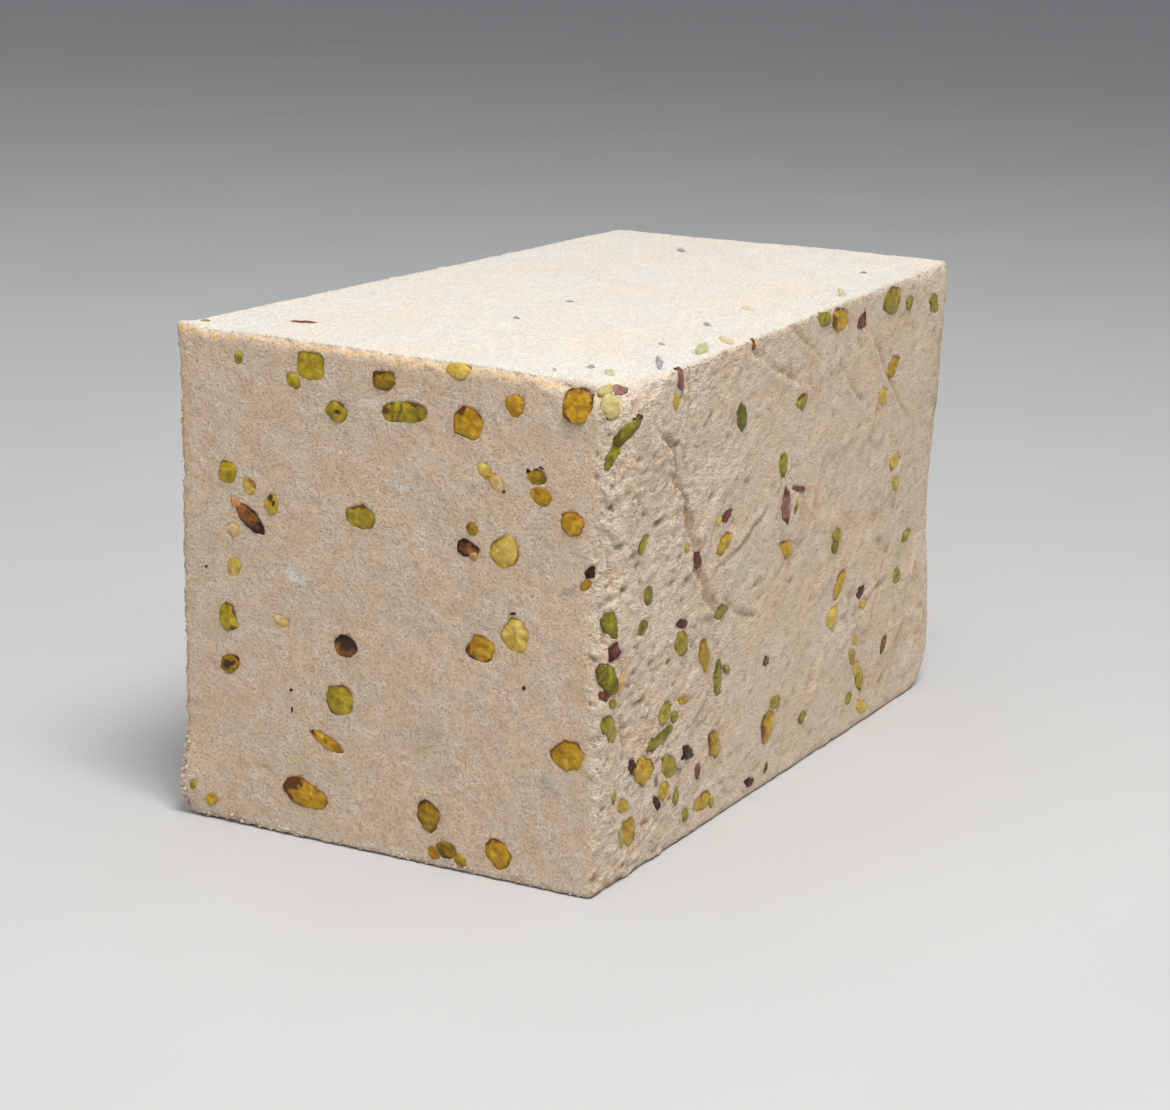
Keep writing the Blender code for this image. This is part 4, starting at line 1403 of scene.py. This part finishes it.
def joined(name, members):
    """One object from the arrays of one or more nuts."""
    points, faces, masks = [], [], []
    start = 0
    for nut in members:
        found, polygons, values = nut_arrays(nut)
        points.append(found)
        masks.append(values)
        faces += [tuple(start + i for i in polygon) for polygon in polygons]
        start += len(found)
    points = in_cad_box(np.concatenate(points))
    masks = np.concatenate(masks)
    mesh = bpy.data.meshes.new(name)
    mesh.from_pydata((points * MM).tolist(), [], faces)
    for column, mask in enumerate(("tone", "skin", "dark", "deep")):
        set_mask(mesh, mask, masks[:, column])
    mesh.shade_smooth()
    return add_object(name, mesh)


def add_object(name, mesh):
    item = bpy.data.objects.new(name, mesh)
    bpy.context.scene.collection.objects.link(item)
    return item


# ---------------------------------------------------------------- materials
# Kernel colours as (first, second, deep, skin), linear.
KERNELS = {
    "green_nut": ((0.40, 0.300, 0.010), (0.60, 0.42, 0.030), (0.22, 0.165, 0.005), (0.12, 0.060, 0.007)),
    "leaf_nut": ((0.27, 0.230, 0.009), (0.46, 0.39, 0.036), (0.10, 0.098, 0.004), (0.11, 0.060, 0.012)),
    "olive_nut": ((0.31, 0.19, 0.004), (0.46, 0.28, 0.009), (0.15, 0.075, 0.003), (0.080, 0.028, 0.005)),
    "moss_nut": ((0.36, 0.280, 0.014), (0.50, 0.385, 0.036), (0.18, 0.140, 0.006), (0.12, 0.055, 0.009)),
    "golden_nut": ((0.43, 0.225, 0.004), (0.66, 0.40, 0.026), (0.28, 0.125, 0.003), (0.12, 0.036, 0.005)),
    "straw_nut": ((0.55, 0.340, 0.013), (0.68, 0.46, 0.034), (0.33, 0.185, 0.006), (0.17, 0.060, 0.010)),
    "yellow_nut": ((0.64, 0.44, 0.060), (0.76, 0.55, 0.120), (0.45, 0.30, 0.030), (0.40, 0.24, 0.030)),
    "pale_nut": ((0.58, 0.39, 0.055), (0.82, 0.62, 0.190), (0.40, 0.24, 0.015), (0.20, 0.09, 0.016)),
    "peach_nut": ((0.64, 0.43, 0.160), (0.74, 0.55, 0.280), (0.46, 0.28, 0.090), (0.40, 0.21, 0.070)),
    "brown_nut": ((0.17, 0.055, 0.014), (0.39, 0.14, 0.024), (0.06, 0.018, 0.008), (0.028, 0.009, 0.007)),
    "burgundy_skin": ((0.18, 0.052, 0.036), (0.31, 0.13, 0.090), (0.07, 0.017, 0.015), (0.05, 0.013, 0.012)),
    "rose_skin": ((0.33, 0.170, 0.135), (0.45, 0.27, 0.220), (0.20, 0.080, 0.060), (0.12, 0.040, 0.030)),
    "dark_skin": ((0.036, 0.011, 0.009), (0.10, 0.032, 0.020), (0.014, 0.004, 0.004), (0.013, 0.005, 0.004)),
    "orange_fleck": ((0.60, 0.32, 0.120), (0.64, 0.40, 0.190), (0.42, 0.18, 0.050), (0.40, 0.17, 0.050)),
    "lime_nut": ((0.46, 0.390, 0.140), (0.56, 0.49, 0.200), (0.36, 0.30, 0.090), (0.40, 0.30, 0.140)),
    "pale_leaf": ((0.56, 0.54, 0.28), (0.66, 0.64, 0.40), (0.48, 0.47, 0.22), (0.40, 0.37, 0.20)),
    "cream_nut": ((0.70, 0.61, 0.380), (0.78, 0.70, 0.490), (0.60, 0.50, 0.270), (0.50, 0.38, 0.200)),
    "grey_mark": ((0.36, 0.355, 0.370), (0.54, 0.53, 0.53), (0.24, 0.235, 0.245), (0.30, 0.28, 0.27)),
}
SKIN_KINDS = ("burgundy_skin", "rose_skin", "dark_skin")
DARK_SPOT = (0.045, 0.022, 0.012)
# The pale streak colour on kernels is painted highlight.
STREAK_HIGHLIGHT_COLOUR = (0.80, 0.66, 0.20)
# Halva colours, and tints that they are multiplied by. The top's colour is paler, partly its own paler
# colour and partly painted sheen of the light above; the side's colour is a little lighter than the cut's,
# partly as painted light. The pale crumb colour is partly painted highlight, and the gap tint and the colour
# of hollows are painted shade.
CUT_COLOUR = (0.71, 0.525, 0.365)
SIDE_COLOUR_AND_LIGHT = (0.755, 0.572, 0.398)
TOP_COLOUR_AND_SHEEN = (0.815, 0.755, 0.672)
PALE_COLOUR = (0.86, 0.79, 0.69)
HOLLOW_SHADE_COLOUR = (0.34, 0.20, 0.095)
WORN_TINT = (0.84, 0.895, 0.97)
GREYISH_TINT = (0.97, 1.0, 1.03)
PINKISH_TINT = (1.015, 0.985, 0.955)
CLOUD_TINT = (0.82, 0.77, 0.70)
GAP_SHADE_TINT = (0.66, 0.58, 0.50)
CLOUD_SHARE = 0.45


class Shader:
    """Short ways to add nodes to a new material."""

    def __init__(self, name):
        self.material = bpy.data.materials.new(name)
        self.material.use_nodes = True
        self.tree = self.material.node_tree
        self.main = self.tree.nodes["Principled BSDF"]
        stretch = self.new("ShaderNodeVectorMath")
        stretch.operation = "MULTIPLY"
        place = self.new("ShaderNodeNewGeometry").outputs["Position"]
        self.place = self.wire(stretch, {0: place, 1: GRAIN_STRETCH})

    def new(self, kind):
        return self.tree.nodes.new(kind)

    def feed(self, value, socket):
        """Links a socket to another, or gives it a value. A colour may lack its fourth number."""
        if isinstance(value, bpy.types.NodeSocket):
            self.tree.links.new(value, socket)
        elif isinstance(value, tuple) and len(value) < len(socket.default_value):
            socket.default_value = (*value, 1.0)
        else:
            socket.default_value = value

    def wire(self, node, inputs, output=0):
        """Feeds a node's inputs and gives one of its outputs."""
        for socket, value in inputs.items():
            self.feed(value, node.inputs[socket])
        return node.outputs[output]

    def surface(self, name, value):
        self.feed(value, self.main.inputs[name])

    def mask(self, name, output="Fac"):
        """What the mesh's points carry under this name."""
        node = self.new("ShaderNodeAttribute")
        node.attribute_name = name
        return node.outputs[output]

    def mix(self, share, first, second, blend="MIX"):
        node = self.new("ShaderNodeMix")
        node.data_type = "RGBA"
        node.blend_type = blend
        return self.wire(node, {"Factor": share, 6: first, 7: second}, 2)

    def tinted(self, colour, tint):
        return self.mix(1.0, colour, tint, "MULTIPLY")

    def math(self, kind, first, second):
        node = self.new("ShaderNodeMath")
        node.operation = kind
        return self.wire(node, {0: first, 1: second})

    def product(self, first, *others):
        for other in others:
            first = self.math("MULTIPLY", first, other)
        return first

    def noise(self, size, detail=2.0, distortion=0.0):
        """Noise with features about this many mm across."""
        inputs = {"Scale": 1.0 / (size * MM), "Detail": detail, "Distortion": distortion}
        return self.wire(self.new("ShaderNodeTexNoise"), {**inputs, "Vector": self.place}, "Fac")

    def ridge(self, size, distortion, width):
        """1 along thin winding lines, 0 away from them."""
        offset = self.math("SUBTRACT", self.noise(size, 1.0, distortion), 0.5)
        return self.span(self.math("ABSOLUTE", offset, 0.0), 0.0, width, 1.0, 0.0)

    def span(self, value, low, high, new_low=0.0, new_high=1.0):
        """Maps values from low to high onto new_low to new_high, and holds those beyond."""
        inputs = {"Value": value, "From Min": low, "From Max": high, "To Min": new_low, "To Max": new_high}
        return self.wire(self.new("ShaderNodeMapRange"), inputs, "Result")

    def bump(self, height, strength, distance):
        inputs = {"Strength": strength, "Distance": distance * MM, "Height": height}
        self.surface("Normal", self.wire(self.new("ShaderNodeBump"), inputs, "Normal"))


def halva_material():
    shader = Shader("halva_crumb")
    cream = shader.mask("cream")
    flank = shader.mask("flank")
    crisp = shader.mask("crisp")
    painted = shader.mask("painted")
    colour = shader.mix(flank, CUT_COLOUR, SIDE_COLOUR_AND_LIGHT)
    colour = shader.mix(cream, colour, TOP_COLOUR_AND_SHEEN)
    colour = shader.mix(painted, colour, shader.mask("paint", "Color"))
    colour = shader.mix(crisp, shader.tinted(colour, WORN_TINT), colour)
    # Slow changes from greyish to pinkish.
    slow = shader.span(shader.noise(13, 3), 0.36, 0.64)
    colour = shader.mix(slow, shader.tinted(colour, GREYISH_TINT), shader.tinted(colour, PINKISH_TINT))
    # Cloudy patches a few mm across.
    plain = shader.math("SUBTRACT", 1.0, shader.product(cream, 0.85))
    cloud = shader.product(shader.span(shader.noise(3.6, 3, 0.5), 0.40, 0.62), plain, CLOUD_SHARE)
    colour = shader.mix(cloud, colour, shader.tinted(colour, CLOUD_TINT))
    # Crumbs are short pale worms with dark gaps between them, larger on the long sides. The pale worms are
    # partly the crumb's own paler colour and partly painted highlight on their tops; the dark gaps and holes
    # are painted shade.
    bare = shader.math("SUBTRACT", 1.0, shader.product(cream, 0.65))
    patchy = shader.span(shader.noise(6, 2), 0.40, 0.60, 0.25, 1.0)
    worms = shader.ridge(0.95, 0.6, 0.10)
    threads = shader.ridge(0.60, 1.2, 0.08)
    coils = shader.product(shader.ridge(1.9, 1.0, 0.09), flank)
    gaps = shader.span(shader.noise(0.62, 1, 0.5), 0.36, 0.47, 1.0, 0.0)
    holes = shader.product(shader.span(shader.noise(1.5, 1, 0.8), 0.33, 0.42, 1.0, 0.0), flank)
    shaded = shader.tinted(colour, GAP_SHADE_TINT)
    clean = shader.math("SUBTRACT", 1.0, shader.product(painted, 0.6))
    for share, other in (
        (shader.product(gaps, bare, crisp, 0.55), shaded),
        (shader.product(holes, crisp, 0.75), shaded),
        (shader.product(worms, patchy, bare, crisp, clean, 0.65), PALE_COLOUR),
        (shader.product(threads, bare, crisp, clean, 0.40), PALE_COLOUR),
        (shader.product(coils, crisp, 0.45), PALE_COLOUR),
        # Painted shade in the hollows, cracks, pits and plate gaps.
        (shader.product(shader.mask("hollow_shade"), 0.80), HOLLOW_SHADE_COLOUR),
    ):
        colour = shader.mix(share, colour, other)
    shader.surface("Base Color", colour)
    shader.surface("Roughness", 0.85)
    shader.surface("Specular IOR Level", 0.25)
    fine = shader.product(worms, patchy, 0.5)
    for height in (
        shader.noise(1.5, 3, 0.6),
        shader.product(threads, 0.35),
        shader.product(coils, 0.6),
        shader.product(gaps, -0.6),
        shader.product(holes, -0.8),
    ):
        fine = shader.math("ADD", fine, height)
    shader.bump(shader.product(fine, crisp), 0.7, 0.45)
    return shader.material


def kernel_material(kind):
    first, second, deep, skin = KERNELS[kind]
    skinned = kind in SKIN_KINDS
    shader = Shader(kind + "_look")
    mottle = shader.span(shader.noise(1.7, 3, 0.8), 0.38, 0.66)
    bruises = shader.span(shader.noise(2.6, 2, 1.0), 0.56, 0.70)
    streak_highlights = shader.product(shader.ridge(1.3, 0.8, 0.07), shader.span(shader.noise(2.2, 1), 0.45, 0.6))
    colour = first
    for share, other in (
        (shader.mask("tone"), second),
        (shader.product(mottle, 0.50), deep),
        (shader.product(bruises, 0.42), skin),
        (shader.mask("deep"), deep),
        # Painted highlight in pale streaks.
        (shader.product(streak_highlights, 0.12 if skinned else 0.25), shader.mix(0.35, second, STREAK_HIGHLIGHT_COLOUR)),
        # Skin is partly painted shadow at the rim; dark is painted shade in splits and holes.
        (shader.mask("skin"), skin),
        (shader.mask("dark"), DARK_SPOT),
    ):
        colour = shader.mix(share, colour, other)
    shader.surface("Base Color", colour)
    shader.surface("Roughness", shader.span(shader.noise(1.0, 2), 0.3, 0.7, 0.24, 0.50))
    shader.surface("Specular IOR Level", 0.12 if skinned else 0.25)
    shader.bump(shader.math("ADD", shader.noise(1.0, 3, 0.5), shader.product(streak_highlights, 0.3)), 0.6, 0.45)
    return shader.material


def floor_material():
    shader = Shader("floor_paper")
    shade = tuple(value * 0.97 for value in FLOOR_COLOUR)
    tint = shader.span(shader.noise(60, 2), 0.3, 0.7)
    shader.surface("Base Color", shader.mix(tint, FLOOR_COLOUR, shade))
    shader.surface("Roughness", 0.75)
    return shader.material


# ---------------------------------------------------------------- camera, floor and light
CAMERA_PLACE = (0.2996, -0.6039, 0.2146)
CAMERA_YAW = 26.65
CAMERA_PITCH = 14.04
CAMERA_ROLL = 2.28
CAMERA_LENS = 90.25
FLOOR_COLOUR = (0.58, 0.58, 0.58)
FLOOR_REACH = 40.0
WORLD_COLOUR = (0.92, 0.95, 1.0, 1.0)
WORLD_STRENGTH = 0.27
LIGHT_AIM = (0, 0, 0.05)


def add_camera():
    yaw, pitch, roll = (math.radians(v) for v in (CAMERA_YAW, CAMERA_PITCH, CAMERA_ROLL))
    ahead = Vector((-math.sin(yaw) * math.cos(pitch), math.cos(yaw) * math.cos(pitch), -math.sin(pitch)))
    right = ahead.cross(Vector((0, 0, 1))).normalized()
    upward = right.cross(ahead)
    across = right * math.cos(roll) + upward * math.sin(roll)
    rise = upward * math.cos(roll) - right * math.sin(roll)
    lens = bpy.data.cameras.new("camera")
    lens.lens = CAMERA_LENS
    lens.sensor_width = 36
    lens.clip_start = 0.01
    lens.clip_end = 200
    camera = add_object("camera", lens)
    camera.matrix_world = Matrix((across, rise, -ahead)).transposed().to_4x4()
    camera.location = Vector(CAMERA_PLACE) + Vector(BLOCK_PLACE) * MM
    bpy.context.scene.camera = camera


def add_light(name, place, size, power, colour):
    lamp = bpy.data.lights.new(name, "AREA")
    lamp.shape = "RECTANGLE"
    lamp.size, lamp.size_y = size
    lamp.energy = power
    lamp.color = colour
    light = add_object(name, lamp)
    light.location = place
    light.rotation_euler = (Vector(LIGHT_AIM) - Vector(place)).to_track_quat("-Z", "Y").to_euler()


def add_floor():
    corners = [(x * FLOOR_REACH, y * FLOOR_REACH, 0) for x, y in ((-1, -1), (1, -1), (1, 1), (-1, 1))]
    mesh = bpy.data.meshes.new("floor")
    mesh.from_pydata(corners, [], [(0, 1, 2, 3)])
    floor = add_object("floor", mesh)
    mesh.materials.append(floor_material())


def add_world():
    world = bpy.data.worlds.new("studio")
    world.use_nodes = True
    background = world.node_tree.nodes["Background"]
    background.inputs["Color"].default_value = WORLD_COLOUR
    background.inputs["Strength"].default_value = WORLD_STRENGTH
    bpy.context.scene.world = world
    bpy.context.scene.view_settings.view_transform = "Standard"


# ---------------------------------------------------------------- assembly
def add_halva(nuts, material):
    halva = add_object("halva_crumb", halva_mesh(nuts))
    halva.data.materials.append(material)
    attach(halva, "root")
    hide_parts("halva_block")


# The kernel colours of nuts that aren't cut: greener and duller.
UNCUT_LOOKS = {"green_nut": "leaf_nut", "olive_nut": "moss_nut", "golden_nut": "straw_nut"}


def look_of(nut):
    """The kind whose kernel colours a nut has."""
    usual = nut.kind if nut.face == "cut" else UNCUT_LOOKS.get(nut.kind, nut.kind)
    return nut.look.get("kernel", usual)


def add_nuts(nuts):
    materials = {kind: kernel_material(kind) for kind in KERNELS}
    chips = {}
    for nut in nuts:
        if not nut.node:
            chips.setdefault(look_of(nut), []).append(nut)
            continue
        piece = joined(nut.name + "_kernel", [nut])
        piece.data.materials.append(materials[look_of(nut)])
        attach(piece, "root")
        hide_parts(nut.name)
    for kind, members in chips.items():
        piece = joined(kind + "_chips", members)
        piece.data.materials.append(materials[kind])
        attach(piece, "root")


add_camera()
add_floor()
add_world()
add_light("key", (0.42, -0.42, 1.18), (0.5, 0.5), 14.5, (1.0, 0.985, 0.96))
add_light("overhead", (-0.05, 0.10, 1.15), (1.3, 1.3), 4.0, (1.0, 0.99, 0.97))
add_light("front", (-0.10, -1.5, 0.55), (1.4, 0.8), 2.2, (1.0, 0.98, 0.95))
add_light("right", (1.5, 0.35, 0.45), (1.2, 0.8), 1.5, (1.0, 0.97, 0.93))
nuts = all_nuts()
crumbly = halva_material()
add_halva(nuts, crumbly)
add_crumbs(crumbly)
add_nuts(nuts)
